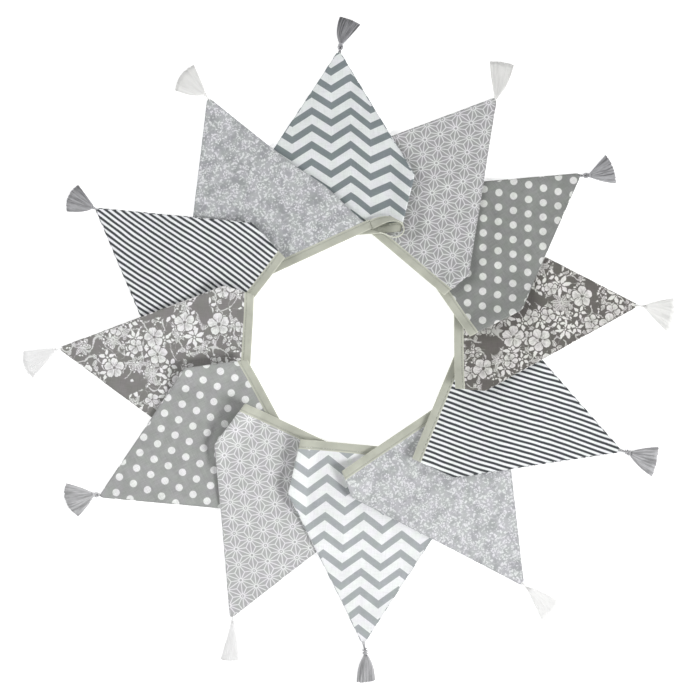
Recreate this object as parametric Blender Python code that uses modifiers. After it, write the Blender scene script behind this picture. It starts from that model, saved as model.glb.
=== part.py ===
"""Fabric bunting laid out as a ring of twelve double-sided cotton pennants.

The string is laid clockwise in a pinwheel: each pennant lies on top of the next, and its
clockwise top corner is folded under, so the bias tape runs back beneath it, turns again and
comes out along the next pennant. Metres, +Z up; the ring lies on z = 0, the first pennant
points along +Y, and compass bearings run clockwise from +Y.
"""
import math
import random
from collections import namedtuple

import bmesh
import bpy
from mathutils import Vector

MM = 0.001

# ---- cloth and tape ------------------------------------------------------------------------
CLOTH_THICK = 1.0 * MM        # two cotton panels turned and pressed
TAPE_THICK = 1.2 * MM         # bias tape folded over the seam
TAPE_WIDTH = 9.5 * MM
GAP = 0.3 * MM                # between neighbouring pieces
TIP_BLUNT = 4.0 * MM          # a pennant's point is sewn off this far short of its apex

# ---- how the pennants are stacked ----------------------------------------------------------
PENNANTS = 12
STEP_ANGLE = 360.0 / PENNANTS
PITCH = 3.2 * MM              # rise from one pennant to the next one over it
LOW_ANGLE = 57.0              # a pennant leaves the floor this far before its own bearing
STACK_RADIUS = 184.0 * MM     # full pitch as far out as this
FLAT_RADIUS = 255.0 * MM      # flat on the floor from here outwards
RING_CENTRE = Vector((3.6 * MM, 11.4 * MM))
FOLD_RADIUS = PITCH / 4       # a tucked layer hangs half a pitch below its pennant

# ---- slack ripples in the free part of each pennant ----------------------------------------
RIPPLE_HEIGHT = 1.6 * MM
RIPPLE_LENGTH = 46.0 * MM
RIPPLE_FROM = 222.0 * MM
RIPPLE_TO = 266.0 * MM

# ---- mesh steps ----------------------------------------------------------------------------
CELL = 18.0 * MM              # grid over a pennant, and steps along the tape
FOLD_STEPS = 4                # steps round a half-turn fold
SPARE_LINES = 4               # grid lines past the height, for a slanted grid
TAPE_OVERRUN = 3.0 * MM       # from a pennant's hidden corner to the turn of the tape
BACK_STEPS = 7                # steps along the tape hidden between two pennants
BACK_PULL = 1 / 3             # of the way between its ends, the handles of that curve
TANGENT_STEP = 0.001          # of the curve, to either side, for its direction

# ---- the middle of the box round the whole ring, from the layout's zero ---------------------
LAYOUT_SHIFT = Vector((0.37 * MM, -0.34 * MM))

# One row for each pennant, sizes in millimetres and degrees:
#   print      name of the cotton print
#   x, y       the apex
#   run        bearing of the top edge, clockwise
#   height     apex to the inner edge of the tape
#   before     top edge from the hidden corner to below the apex
#   after      top edge from below the apex to the tucked corner
#   tuck       length of top edge that is folded under
#   slant      lean of the fold from a right angle to the top edge
Pennant = namedtuple("Pennant", "print x y run height before after tuck slant")
PENNANT_ROWS = (
    Pennant("chevron", -9.5, 300.0, 86.0, 187.0, 142.0, 95.0, 47.0, 18.0),
    Pennant("hemp_leaf", 149.0, 253.0, 130.5, 186.5, 102.5, 113.0, 25.0, 10.0),
    Pennant("dots", 233.5, 176.5, 145.5, 186.0, 105.0, 114.0, 43.5, 7.5),
    Pennant("large_floral", 291.5, 44.0, 179.5, 186.5, 97.5, 100.5, 20.0, 5.5),
    Pennant("stripes", 275.0, -102.5, 202.5, 193.5, 94.5, 116.5, 30.5, 2.0),
    Pennant("small_floral", 176.0, -237.5, 236.0, 199.0, 103.5, 107.5, 22.0, 13.0),
    Pennant("chevron", 14.5, -296.5, 275.5, 200.5, 104.0, 123.0, 42.0, 7.5),
    Pennant("hemp_leaf", -118.5, -270.0, 295.5, 202.5, 101.5, 118.0, 40.0, 11.5),
    Pennant("dots", -250.5, -148.0, 332.0, 197.5, 128.5, 104.5, 54.0, 20.5),
    Pennant("large_floral", -291.0, 1.5, 3.5, 194.0, 125.5, 85.5, 21.5, 14.0),
    Pennant("stripes", -254.0, 142.0, 38.0, 182.0, 101.0, 115.0, 38.0, 9.0),
    Pennant("small_floral", -141.0, 253.0, 65.5, 189.0, 114.5, 95.0, 0.0, 0.0),
)

# One row for each tassel, sizes in millimetres and degrees:
#   yarn       colour of the cotton yarn
#   x, y       the neck, where the skirt starts
#   bearing    way the skirt points
#   length     skirt
#   width      skirt at its end
#   knot       half width of the wrapped knot above the neck
Tassel = namedtuple("Tassel", "yarn x y bearing length width knot")
TASSEL_ROWS = (
    Tassel("grey", -7.7, 306.0, 21.5, 24.5, 22.0, 2.2),
    Tassel("white", 148.1, 254.0, 9.5, 35.0, 24.5, 1.8),
    Tassel("grey", 242.0, 173.4, 71.5, 26.0, 30.5, 2.8),
    Tassel("white", 293.5, 44.4, 108.5, 34.5, 35.0, 1.8),
    Tassel("grey", 282.4, -103.8, 107.5, 27.5, 30.0, 2.6),
    Tassel("white", 178.0, -237.0, 137.0, 37.5, 26.0, 1.8),
    Tassel("grey", 17.1, -302.6, 178.0, 29.0, 18.0, 2.0),
    Tassel("white", -116.6, -271.8, 185.0, 38.0, 18.5, 1.8),
    Tassel("grey", -255.6, -144.5, 252.0, 28.0, 35.0, 2.4),
    Tassel("white", -290.6, 0.0, 245.0, 37.5, 29.5, 1.8),
    Tassel("grey", -254.6, 141.8, 292.0, 27.0, 29.5, 1.6),
    Tassel("white", -142.6, 252.6, 313.0, 35.5, 30.5, 1.8),
)

STRANDS_ACROSS = 10
STRAND_ROWS = 2
STRAND_GAP = 0.3 * MM         # between neighbouring strands at their ends
ROOT_HALF = 2.2 * MM          # half width of the neck, where the strands are rooted
ROOT_LAYER = 1.3 * MM         # height of one layer of strands at the neck
END_LAYER = 1.0 * MM          # and at the end of the skirt
STRAND_UNEVEN = 0.06          # part of its length by which a strand's end wanders

# Sections of a tassel's head, from the pennant's point to just above the neck:
#   along      share of the way to the neck
#   half, tall half width and height, as shares of the knot's half width
HeadSection = namedtuple("HeadSection", "along half tall")
HEAD_ROWS = (
    HeadSection(0.00, 0.50, 0.65),
    HeadSection(0.30, 0.90, 1.50),
    HeadSection(0.55, 1.00, 1.70),
    HeadSection(0.80, 0.65, 1.20),
)
# Corners of each section, from bottom right round, as shares of its half width and height
HEAD_CORNERS = ((0.6, 0.0), (1.0, 0.3), (1.0, 0.7), (0.6, 1.0),
                (-0.6, 1.0), (-1.0, 0.7), (-1.0, 0.3), (-0.6, 0.0))

# The hanging loop at the end of the tape stands on its edge. One row for each place on it:
#   x, y       middle of the tape, in millimetres
#   lift       height of that middle over the pennant that it stands on, in millimetres
#   lean       roll of the tape from flat (0) to standing on its edge (90), in degrees
LoopPlace = namedtuple("LoopPlace", "x y lift lean")
LOOP_ROWS = (
    LoopPlace(22.4, 124.0, 3.8, 0.0),
    LoopPlace(25.6, 125.4, 4.1, 6.0),
    LoopPlace(31.4, 127.6, 5.4, 28.0),
    LoopPlace(38.0, 129.2, 6.4, 46.0),
    LoopPlace(45.0, 129.3, 6.9, 58.0),
    LoopPlace(51.2, 127.0, 7.2, 72.0),
    LoopPlace(54.4, 122.4, 7.2, 84.0),
    LoopPlace(54.9, 117.4, 7.2, 90.0),
    LoopPlace(52.0, 113.2, 7.2, 90.0),
    LoopPlace(46.5, 111.2, 7.2, 90.0),
    LoopPlace(41.0, 112.2, 7.2, 90.0),
    LoopPlace(36.0, 114.6, 7.2, 90.0),
    LoopPlace(30.5, 116.0, 7.2, 90.0),
)
LOOP_STANDS_ON = 1

# Colour (linear RGB), roughness
FINISHES = {
    "chevron": ((0.36, 0.39, 0.41), 0.85),
    "hemp_leaf": ((0.48, 0.47, 0.48), 0.85),
    "dots": ((0.33, 0.33, 0.32), 0.85),
    "large_floral": ((0.27, 0.25, 0.24), 0.85),
    "stripes": ((0.40, 0.41, 0.41), 0.85),
    "small_floral": ((0.55, 0.55, 0.57), 0.85),
    "bias_tape": ((0.49, 0.52, 0.41), 0.80),
    "grey": ((0.29, 0.29, 0.31), 0.75),
    "white": ((0.86, 0.86, 0.82), 0.75),
}


# ---- layout --------------------------------------------------------------------------------
def compass(bearing):
    """Unit vector in plan along a compass bearing."""
    angle = math.radians(bearing)
    return Vector((math.sin(angle), math.cos(angle)))


def smooth_step(value):
    """0 below 0, 1 above 1, and half a cosine wave between."""
    value = min(max(value, 0.0), 1.0)
    return 0.5 - 0.5 * math.cos(math.pi * value)


def stack_share(radius):
    """Share of the full pitch that is left at a distance from the ring's centre."""
    return 1.0 - smooth_step((radius - STACK_RADIUS) / (FLAT_RADIUS - STACK_RADIUS))


def underside(number, place):
    """Height of the underside of pennant `number` at a place in plan, and the pitch there."""
    arm = place - RING_CENTRE
    bearing = math.degrees(math.atan2(arm.x, arm.y)) - STEP_ANGLE * (number - 1)
    bearing = (bearing + 180.0) % 360.0 - 180.0
    pitch = PITCH * stack_share(arm.length)
    height = pitch * max(bearing + LOW_ANGLE, 0.0) / STEP_ANGLE
    ripple_at = (arm.length - RIPPLE_FROM) / (RIPPLE_TO - RIPPLE_FROM)
    if 0.0 < ripple_at < 1.0:
        across = arm.length * math.radians(bearing)
        wave = 0.5 - 0.5 * math.cos(2 * math.pi * across / RIPPLE_LENGTH + number)
        height += RIPPLE_HEIGHT * wave * math.sin(math.pi * ripple_at) ** 2
    return height, pitch


class Frame:
    """Plan frame of one pennant: u along its top edge, v from the tape's inner edge out."""

    def __init__(self, number):
        row = PENNANT_ROWS[number - 1]
        self.number = number
        self.apex = Vector((row.x, row.y)) * MM
        self.along = compass(row.run)
        self.out = compass(row.run - 90.0)
        self.height = row.height * MM
        self.before = row.before * MM
        self.after = row.after * MM
        self.tuck = row.tuck * MM
        self.folded = row.tuck > 0.0
        slant = math.radians(row.slant)
        self.fold_foot = Vector((self.after - self.tuck, 0.0))
        self.fold_way = Vector((math.sin(slant), math.cos(slant)))
        self.fold_normal = Vector((math.cos(slant), -math.sin(slant)))

    def edge_before(self, v):
        return -self.before * (1.0 - v / self.height)

    def edge_after(self, v):
        return self.after * (1.0 - v / self.height)

    def past_fold(self, flat):
        """Distance of a point of the flat cloth past the fold line."""
        return (flat - self.fold_foot).dot(self.fold_normal)

    def plan(self, flat):
        """Place in plan of a point (u, v)."""
        return self.apex + self.along * flat.x - self.out * (self.height - flat.y)

    def lay(self, flat, half_thick):
        """Place in the ring of a point (u, v) of the flat cloth, tucked corner folded under."""
        drop = 0.0
        turn = self.past_fold(flat) + FOLD_RADIUS
        if self.folded and turn > 0.0:
            half_turn = math.pi * FOLD_RADIUS
            if turn < half_turn:
                reach = FOLD_RADIUS * math.sin(turn / FOLD_RADIUS) - FOLD_RADIUS
                drop = FOLD_RADIUS * (1.0 - math.cos(turn / FOLD_RADIUS))
            else:
                reach = half_turn - turn - FOLD_RADIUS
                drop = 2 * FOLD_RADIUS
            way = (flat - self.fold_foot).dot(self.fold_way)
            flat = self.fold_foot + self.fold_way * way + self.fold_normal * reach
        place = self.plan(flat)
        height, pitch = underside(self.number, place)
        return Vector((place.x, place.y, height + half_thick - drop * pitch / PITCH))


# ---- scene helpers -------------------------------------------------------------------------
def clear_scene():
    for item in list(bpy.data.objects):
        bpy.data.objects.remove(item, do_unlink=True)


def make_material(name):
    colour, roughness = FINISHES[name]
    material = bpy.data.materials.new("cotton_" + name)
    material.use_nodes = True
    shader = material.node_tree.nodes["Principled BSDF"]
    shader.inputs["Base Color"].default_value = (*colour, 1.0)
    shader.inputs["Roughness"].default_value = roughness
    material.diffuse_color = (*colour, 1.0)
    return material


def add_object(mesh_source, name, finish, collection, parent):
    """Turn a bmesh into a named object with its own material, on the ring's empty."""
    mesh = bpy.data.meshes.new(name)
    mesh_source.to_mesh(mesh)
    mesh_source.free()
    mesh.materials.append(make_material(finish))
    item = bpy.data.objects.new(name, mesh)
    item.parent = parent
    collection.objects.link(item)
    return item


def thicken(item, thickness):
    """Give a middle surface its cloth thickness."""
    solidify = item.modifiers.new("cloth", "SOLIDIFY")
    solidify.thickness = thickness
    solidify.offset = 0.0
    solidify.use_even_offset = True


# ---- pennants ------------------------------------------------------------------------------
def cut_lines(frame):
    """Lines to cut the flat cloth along: (point, normal) pairs, parallel and square to the fold."""
    lines = []
    reach = frame.before + frame.after
    if frame.folded:
        first = -FOLD_RADIUS
        for step in range(FOLD_STEPS + 1):
            turn = first + math.pi * FOLD_RADIUS * step / FOLD_STEPS
            lines.append((frame.fold_foot + frame.fold_normal * turn, frame.fold_normal))
        under = first + math.pi * FOLD_RADIUS + CELL
        lines.append((frame.fold_foot + frame.fold_normal * under, frame.fold_normal))
    else:
        first = 0.0
    for step in range(1, math.ceil(reach / CELL) + 1):
        lines.append((frame.fold_foot + frame.fold_normal * (first - step * CELL), frame.fold_normal))
    for step in range(1, math.ceil(frame.height / CELL) + SPARE_LINES):
        lines.append((frame.fold_foot + frame.fold_way * (step * CELL), frame.fold_way))
    return lines


def make_pennant(number, collection, parent):
    """One pennant: a flat triangle cut into a grid, its corner tucked under, laid on the stack."""
    frame = Frame(number)
    top = TAPE_WIDTH + GAP
    tip = frame.height - TIP_BLUNT
    outline = [
        (frame.edge_before(top), top),
        (frame.edge_after(top), top),
        (frame.edge_after(tip), tip),
        (frame.edge_before(tip), tip),
    ]
    cloth = bmesh.new()
    cloth.faces.new([cloth.verts.new((u, v, 0.0)) for u, v in outline])
    for point, normal in cut_lines(frame):
        everything = cloth.verts[:] + cloth.edges[:] + cloth.faces[:]
        bmesh.ops.bisect_plane(
            cloth, geom=everything, dist=1e-5,
            plane_co=(point.x, point.y, 0.0), plane_no=(normal.x, normal.y, 0.0),
        )
    for vertex in cloth.verts:
        vertex.co = frame.lay(vertex.co.xy, CLOTH_THICK / 2)
    bmesh.ops.triangulate(cloth, faces=cloth.faces[:])
    name = f"pennant_{number:02d}_{PENNANT_ROWS[number - 1].print}"
    item = add_object(cloth, name, PENNANT_ROWS[number - 1].print, collection, parent)
    thicken(item, CLOTH_THICK)
    return item


# ---- bias tape -----------------------------------------------------------------------------
def tape_over(frame):
    """Crosswise pairs of points of the tape along one pennant, from its hidden corner on."""
    pairs = []
    start = -frame.before - TAPE_OVERRUN + FOLD_RADIUS
    stop = frame.fold_foot.x - TAPE_WIDTH if frame.folded else frame.fold_foot.x
    steps = math.ceil((stop - start) / CELL)
    for step in range(steps + 1):
        u = start + (stop - start) * step / steps
        pairs.append([frame.lay(Vector((u, v)), TAPE_THICK / 2) for v in (0.0, TAPE_WIDTH)])
    if frame.folded:
        turns = [-FOLD_RADIUS + math.pi * FOLD_RADIUS * step / FOLD_STEPS
                 for step in range(FOLD_STEPS + 1)]
        end = frame.tuck * frame.fold_normal.x - TAPE_WIDTH * abs(frame.fold_normal.y)
        turns += [(turns[-1] + end) / 2, end]
        for turn in turns:
            pairs.append([lay_past_fold(frame, turn, v) for v in (0.0, TAPE_WIDTH)])
    return pairs


def lay_past_fold(frame, turn, v):
    """Place of the point of the tape at height v that is `turn` past the fold line."""
    u = frame.fold_foot.x + (turn - v * frame.fold_normal.y) / frame.fold_normal.x
    return frame.lay(Vector((u, v)), TAPE_THICK / 2)


def tape_back(frame, coming, pair):
    """Pairs of points of the tape hidden under a pennant, back to the next one's corner."""
    leave = ((pair[0] + pair[1]) / 2).xy
    fold_way = frame.along * frame.fold_way.x + frame.out * frame.fold_way.y
    heading = fold_way * (2 * frame.along.dot(fold_way)) - frame.along
    turn_in = coming.plan(Vector((-coming.before - TAPE_OVERRUN + FOLD_RADIUS, TAPE_WIDTH / 2)))
    pull = (turn_in - leave).length * BACK_PULL
    handles = (leave, leave + heading * pull, turn_in + coming.along * pull, turn_in)
    pairs = []
    for step in range(1, BACK_STEPS + 1):
        at = step / BACK_STEPS
        centre = bezier(handles, at)
        way = bezier(handles, at + TANGENT_STEP) - bezier(handles, at - TANGENT_STEP)
        way.normalize()
        side = Vector((way.y, -way.x)) * (TAPE_WIDTH / 2)
        crosswise = []
        for place in (centre - side, centre + side):
            height, pitch = underside(frame.number, place)
            crosswise.append(Vector((place.x, place.y, height + TAPE_THICK / 2 - pitch / 2)))
        pairs.append(crosswise)
    return pairs


def tape_turn(frame):
    """Pairs of points round the half turn at a pennant's hidden corner, top to bottom."""
    pairs = []
    turn_at = -frame.before - TAPE_OVERRUN + FOLD_RADIUS
    for step in range(1, FOLD_STEPS):
        angle = math.pi * step / FOLD_STEPS
        u = turn_at - FOLD_RADIUS * math.sin(angle)
        crosswise = []
        for v in (0.0, TAPE_WIDTH):
            place = frame.plan(Vector((u, v)))
            height, pitch = underside(frame.number, place)
            rise = pitch / 4 * (1.0 + math.cos(angle))
            crosswise.append(Vector((place.x, place.y, height + TAPE_THICK / 2 + rise)))
        pairs.append(crosswise)
    return pairs


def bezier(handles, at):
    """Point on a cubic curve through four handles."""
    start, first, second, end = handles
    rest = 1.0 - at
    return (start * rest ** 3 + first * (3 * at * rest ** 2)
            + second * (3 * at ** 2 * rest) + end * at ** 3)


def ribbon(pairs):
    """Strip of quads through crosswise pairs of points."""
    strip = bmesh.new()
    rows = [[strip.verts.new(point) for point in pair] for pair in pairs]
    for last, row in zip(rows, rows[1:]):
        strip.faces.new((last[0], row[0], row[1], last[1]))
    return strip


def make_tape(collection, parent):
    """The whole tape as one strip, zigzagging from pennant to pennant."""
    pairs = []
    for number in range(1, PENNANTS + 1):
        frame = Frame(number)
        if number > 1:
            pairs += tape_back(Frame(number - 1), frame, pairs[-1])
            pairs += tape_turn(frame)
        pairs += tape_over(frame)
    item = add_object(ribbon(pairs), "binding_tape", "bias_tape", collection, parent)
    thicken(item, TAPE_THICK)
    return item


def make_hanging_loop(collection, parent):
    """Loop at the tape's end: it rises from flat on to its edge, turns and runs back."""
    places = [Vector((row.x, row.y)) * MM for row in LOOP_ROWS]
    pairs = []
    for index, row in enumerate(LOOP_ROWS):
        ahead = places[min(index + 1, len(places) - 1)]
        behind = places[max(index - 1, 0)]
        way = (ahead - behind).normalized()
        lean = math.radians(row.lean)
        across = Vector((-way.y * math.cos(lean), way.x * math.cos(lean), -math.sin(lean)))
        floor = underside(LOOP_STANDS_ON, places[index])[0]
        centre = Vector((*places[index], floor + row.lift * MM))
        pairs.append([centre - across * (TAPE_WIDTH / 2), centre + across * (TAPE_WIDTH / 2)])
    item = add_object(ribbon(pairs), "hanging_loop", "bias_tape", collection, parent)
    thicken(item, TAPE_THICK)
    return item


# ---- tassels -------------------------------------------------------------------------------
class Skirt:
    """The flat fan of one tassel, as angles and radii from the point where its sides meet."""

    def __init__(self, row):
        self.length = row.length * MM
        self.bearing = row.bearing
        self.spread = math.degrees(math.asin((row.width * MM / 2 - ROOT_HALF) / self.length))
        self.root_radius = ROOT_HALF / math.sin(math.radians(self.spread))
        self.step = 2 * self.spread / STRANDS_ACROSS
        self.neck = Vector((row.x, row.y)) * MM
        self.focus = self.neck - compass(row.bearing) * self.root_radius

    def point(self, bearing, radius, height):
        place = self.focus + compass(bearing) * radius
        return Vector((place.x, place.y, height))


def head_rings(mesh, number, skirt):
    """Sections of a tassel's head, flat on the floor, bending from the point to the neck."""
    frame = Frame(number)
    knot = TASSEL_ROWS[number - 1].knot * MM
    start = frame.plan(Vector((0.0, frame.height - TIP_BLUNT + GAP)))
    bend = frame.plan(Vector((0.0, frame.height - TIP_BLUNT / 2)))
    rings = []
    for section in HEAD_ROWS:
        at = section.along
        centre = start * (1 - at) ** 2 + bend * (2 * at * (1 - at)) + skirt.neck * at ** 2
        way = ((bend - start) * (1 - at) + (skirt.neck - bend) * at).normalized()
        side = Vector((way.y, -way.x)) * (section.half * knot)
        ring = []
        for across, up in HEAD_CORNERS:
            place = centre + side * across
            ring.append(mesh.verts.new((place.x, place.y, up * section.tall * knot)))
        rings.append(ring)
    return rings


def root_grid(mesh, skirt):
    """Curved grid at the neck, one cell for the root of each strand."""
    bearings = [skirt.bearing + skirt.spread - column * skirt.step
                for column in range(STRANDS_ACROSS + 1)]
    return [[mesh.verts.new(skirt.point(bearing, skirt.root_radius, level * ROOT_LAYER))
             for bearing in bearings] for level in range(STRAND_ROWS + 1)]


def close_head(mesh, rings, grid):
    """Walls of the head, from its first section to the edge of the root grid."""
    mesh.faces.new(rings[0])
    for last, ring in zip(rings, rings[1:]):
        for index in range(len(ring)):
            after = (index + 1) % len(ring)
            mesh.faces.new((last[after], last[index], ring[index], ring[after]))
    waist_right = rings[-1][:len(HEAD_CORNERS) // 2]
    waist_left = rings[-1][len(HEAD_CORNERS) // 2:]
    grid_right = [level[0] for level in grid]
    grid_left = [level[-1] for level in grid]
    mesh.faces.new([waist_right[0], waist_left[-1]] + grid[0][::-1])
    mesh.faces.new([waist_left[0], waist_right[-1]] + grid[-1])
    mesh.faces.new(waist_right[::-1] + grid_right)
    mesh.faces.new(waist_left[::-1] + grid_left[::-1])


def draw_strand(mesh, cell, skirt, level, column, dice):
    """Draw one root cell out to the end of the skirt as a tapered strand, level on the floor."""
    middle = skirt.bearing + skirt.spread - (column + 0.5) * skirt.step
    end = skirt.length * (1.0 + STRAND_UNEVEN * (dice.uniform(-1.0, 1.0) - level))
    behind = cell
    for reach, slack in ((skirt.length / 2, STRAND_GAP), (end, 0.0)):
        radius = skirt.root_radius + reach
        half = skirt.step / 2 - math.degrees(STRAND_GAP / 2 / radius)
        low = level * (END_LAYER + STRAND_GAP + slack)
        corners = ((middle + half, low), (middle - half, low),
                   (middle - half, low + END_LAYER), (middle + half, low + END_LAYER))
        ahead = [mesh.verts.new(skirt.point(bearing, radius, height))
                 for bearing, height in corners]
        for index in range(4):
            after = (index + 1) % 4
            mesh.faces.new((behind[index], behind[after], ahead[after], ahead[index]))
        behind = ahead
    mesh.faces.new(behind)


def make_tassel(number, collection, parent):
    """A tassel: a knotted head at the pennant's point, and a flat fan of strands."""
    row = TASSEL_ROWS[number - 1]
    skirt = Skirt(row)
    dice = random.Random(number)
    mesh = bmesh.new()
    rings = head_rings(mesh, number, skirt)
    grid = root_grid(mesh, skirt)
    close_head(mesh, rings, grid)
    for level in range(STRAND_ROWS):
        for column in range(STRANDS_ACROSS):
            cell = (grid[level][column], grid[level][column + 1],
                    grid[level + 1][column + 1], grid[level + 1][column])
            draw_strand(mesh, cell, skirt, level, column, dice)
    bmesh.ops.recalc_face_normals(mesh, faces=mesh.faces[:])
    bmesh.ops.triangulate(mesh, faces=mesh.faces[:])
    return add_object(mesh, f"tassel_{number:02d}_{row.yarn}", row.yarn, collection, parent)


# ---- the whole string ----------------------------------------------------------------------
def main():
    clear_scene()
    collection = bpy.data.collections.new("fabric_bunting")
    bpy.context.scene.collection.children.link(collection)
    ring = bpy.data.objects.new("ring", None)
    ring.location = (-LAYOUT_SHIFT.x, -LAYOUT_SHIFT.y, 0.0)
    collection.objects.link(ring)
    for number in range(1, PENNANTS + 1):
        make_pennant(number, collection, ring)
        make_tassel(number, collection, ring)
    make_tape(collection, ring)
    make_hanging_loop(collection, ring)


main()
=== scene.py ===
"""Looks of a fabric bunting: twelve printed cotton pennants, bias tape and yarn tassels.

The pennants are sewn double, and lie in a ring, each on top of the next one clockwise. Every
piece is laid on the same stack as its solid: the layout rows and the functions that lay cloth
are those of the solids. Metres, +Z up; u runs along a pennant's top edge from below its
point, v runs from the tape's inner edge out to the point.
"""
import bisect
import itertools
import math
import random
from collections import namedtuple

import bmesh
import bpy
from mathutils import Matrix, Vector, noise


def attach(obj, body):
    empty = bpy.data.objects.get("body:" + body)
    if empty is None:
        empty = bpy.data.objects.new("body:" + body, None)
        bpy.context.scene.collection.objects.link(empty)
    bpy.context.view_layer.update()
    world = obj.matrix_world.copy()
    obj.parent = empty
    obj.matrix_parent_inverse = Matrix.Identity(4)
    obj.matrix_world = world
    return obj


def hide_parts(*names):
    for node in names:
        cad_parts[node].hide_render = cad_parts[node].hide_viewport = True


bl_info = {
    "name": "Fabric Bunting",
    "version": (1, 0, 0),
    "blender": (4, 5, 0),
    "location": "View3D > Sidebar > Bunting",
    "description": "Cotton pennants, bias tape and tassels for a ring of bunting",
    "category": "Object",
}

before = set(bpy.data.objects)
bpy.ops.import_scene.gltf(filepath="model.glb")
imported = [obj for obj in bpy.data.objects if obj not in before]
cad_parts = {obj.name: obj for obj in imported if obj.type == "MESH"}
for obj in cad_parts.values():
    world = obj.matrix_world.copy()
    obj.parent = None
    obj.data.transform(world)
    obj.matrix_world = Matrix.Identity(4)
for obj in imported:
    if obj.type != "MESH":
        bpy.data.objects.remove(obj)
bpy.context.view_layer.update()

MM = 0.001
IMAGE_SIDE = 700              # pixels, square; one pixel is one millimetre of the ring

# ---- cloth and tape, as in the solids ----
CLOTH_THICK = 1.0 * MM
TAPE_THICK = 1.2 * MM
TAPE_WIDTH = 9.5 * MM
TIP_BLUNT = 4.0 * MM          # a pennant's point is cut off this far from its corner

# ---- the stack, as in the solids ----
PENNANTS = 12
STEP_ANGLE = 360.0 / PENNANTS
PITCH = 3.2 * MM
LOW_ANGLE = 57.0
STACK_RADIUS = 184.0 * MM
FLAT_RADIUS = 255.0 * MM
RING_CENTRE = Vector((3.6 * MM, 11.4 * MM))
FOLD_RADIUS = PITCH / 4
FOLD_START = -FOLD_RADIUS     # where the half turn starts and ends, past the fold line
FOLD_END = (math.pi - 1.0) * FOLD_RADIUS
RIPPLE_HEIGHT = 1.6 * MM
RIPPLE_LENGTH = 46.0 * MM
RIPPLE_FROM = 222.0 * MM
RIPPLE_TO = 266.0 * MM
TAPE_OVERRUN = 3.0 * MM
LAYOUT_SHIFT = Vector((0.37 * MM, -0.34 * MM, 0.0))
UP = Vector((0.0, 0.0, 1.0))

Pennant = namedtuple("Pennant", "print x y run height before after tuck slant")
PENNANT_ROWS = [Pennant(*row) for row in (
    ("chevron", -9.5, 300.0, 86.0, 187.0, 142.0, 95.0, 47.0, 18.0),
    ("hemp_leaf", 149.0, 253.0, 130.5, 186.5, 102.5, 113.0, 25.0, 10.0),
    ("dots", 233.5, 176.5, 145.5, 186.0, 105.0, 114.0, 43.5, 7.5),
    ("large_floral", 291.5, 44.0, 179.5, 186.5, 97.5, 100.5, 20.0, 5.5),
    ("stripes", 275.0, -102.5, 202.5, 193.5, 94.5, 116.5, 30.5, 2.0),
    ("small_floral", 176.0, -237.5, 236.0, 199.0, 103.5, 107.5, 22.0, 13.0),
    ("chevron", 14.5, -296.5, 275.5, 200.5, 104.0, 123.0, 42.0, 7.5),
    ("hemp_leaf", -118.5, -270.0, 295.5, 202.5, 101.5, 118.0, 40.0, 11.5),
    ("dots", -250.5, -148.0, 332.0, 197.5, 128.5, 104.5, 54.0, 20.5),
    ("large_floral", -291.0, 1.5, 3.5, 194.0, 125.5, 85.5, 21.5, 14.0),
    ("stripes", -254.0, 142.0, 38.0, 182.0, 101.0, 115.0, 38.0, 9.0),
    ("small_floral", -141.0, 253.0, 65.5, 189.0, 114.5, 95.0, 0.0, 0.0),
)]
LoopPlace = namedtuple("LoopPlace", "x y lift lean")
LOOP_ROWS = [LoopPlace(*row) for row in (
    (22.4, 124.0, 3.3, 0.0), (25.6, 125.4, 4.1, 6.0), (31.4, 127.6, 5.4, 28.0),
    (38.0, 129.2, 6.4, 46.0), (45.0, 129.3, 6.9, 58.0), (51.2, 127.0, 7.2, 72.0),
    (54.4, 122.4, 7.2, 84.0), (54.9, 117.4, 7.2, 90.0), (52.0, 113.2, 7.2, 90.0),
    (46.5, 111.2, 7.2, 90.0), (41.0, 112.2, 7.2, 90.0), (36.0, 114.6, 7.2, 90.0),
    (30.5, 116.0, 7.2, 90.0))]
LOOP_STANDS_ON = 1

# ---- mesh of a pennant ----
ROW_STEP = 2.2 * MM           # along v
SIDE_COLUMNS = 54             # from the sewn edge to the fold
FOLD_COLUMNS = 8              # round the half turn
TUCK_COLUMNS = 14             # in the tucked corner
RIM_STEPS = (0.0, 0.18 * MM, 0.5 * MM, 1.1 * MM)
RIM_ROUND = 0.9 * MM          # the sewn edge swells to the full thickness over this
SEAM_ROLL = 0.8 * MM          # the back panel rolls this far round a sewn edge to the front
# Painted shade along the sewn edge: over this width, by the share on the next line
SEAM_SHADE_WIDTH = 2.0 * MM          # the edge, with the allowances inside, is darker over this
SEAM_SHADE = 0.2
CLOTH_IN_TAPE = 6.0 * MM
HALF_IN_TAPE = 0.33 * MM      # half thickness of the cloth pressed in the tape
TAPE_BITE = 0.5 * MM          # it swells from this far inside the tape, over the next length
SWELL_LENGTH = 2.0 * MM
TIP_ROUND = 5.0 * MM
TIP_SHORT = 2.8 * MM
PROBE = 0.05 * MM             # step to either side for a surface's direction
BACK_SHIFT = 37.0             # the back panel was cut from another place in the print

# ---- how each print lies on its pennant ----
# Two repeats of the print, each a length and a direction anticlockwise from u, and a place in
# the cloth where a repeat starts, all in millimetres and degrees:
PrintLay = namedtuple("PrintLay", "first first_turn second second_turn u v")
PRINT_LAYS = {
    1: PrintLay(39.0, -4.0, 17.1, -94.0, 6.6, 111.3),
    2: PrintLay(16.38, 60.6, 14.90, -57.5, -2.7, 175.8),
    3: PrintLay(15.24, 42.7, 14.59, -35.4, 29.3, 44.9),
    5: PrintLay(4.82, 4.5, 100.0, 94.5, -9.0, 88.7),
    7: PrintLay(38.6, -174.5, 18.83, 92.5, 11.0, 84.9),
    8: PrintLay(16.64, 4.4, 15.83, 122.7, 84.7, 14.7),
    9: PrintLay(15.50, -143.0, 15.81, 139.2, 53.8, 29.0),
    11: PrintLay(4.70, 3.4, 100.0, 93.4, 9.4, 87.0),
}
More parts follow.
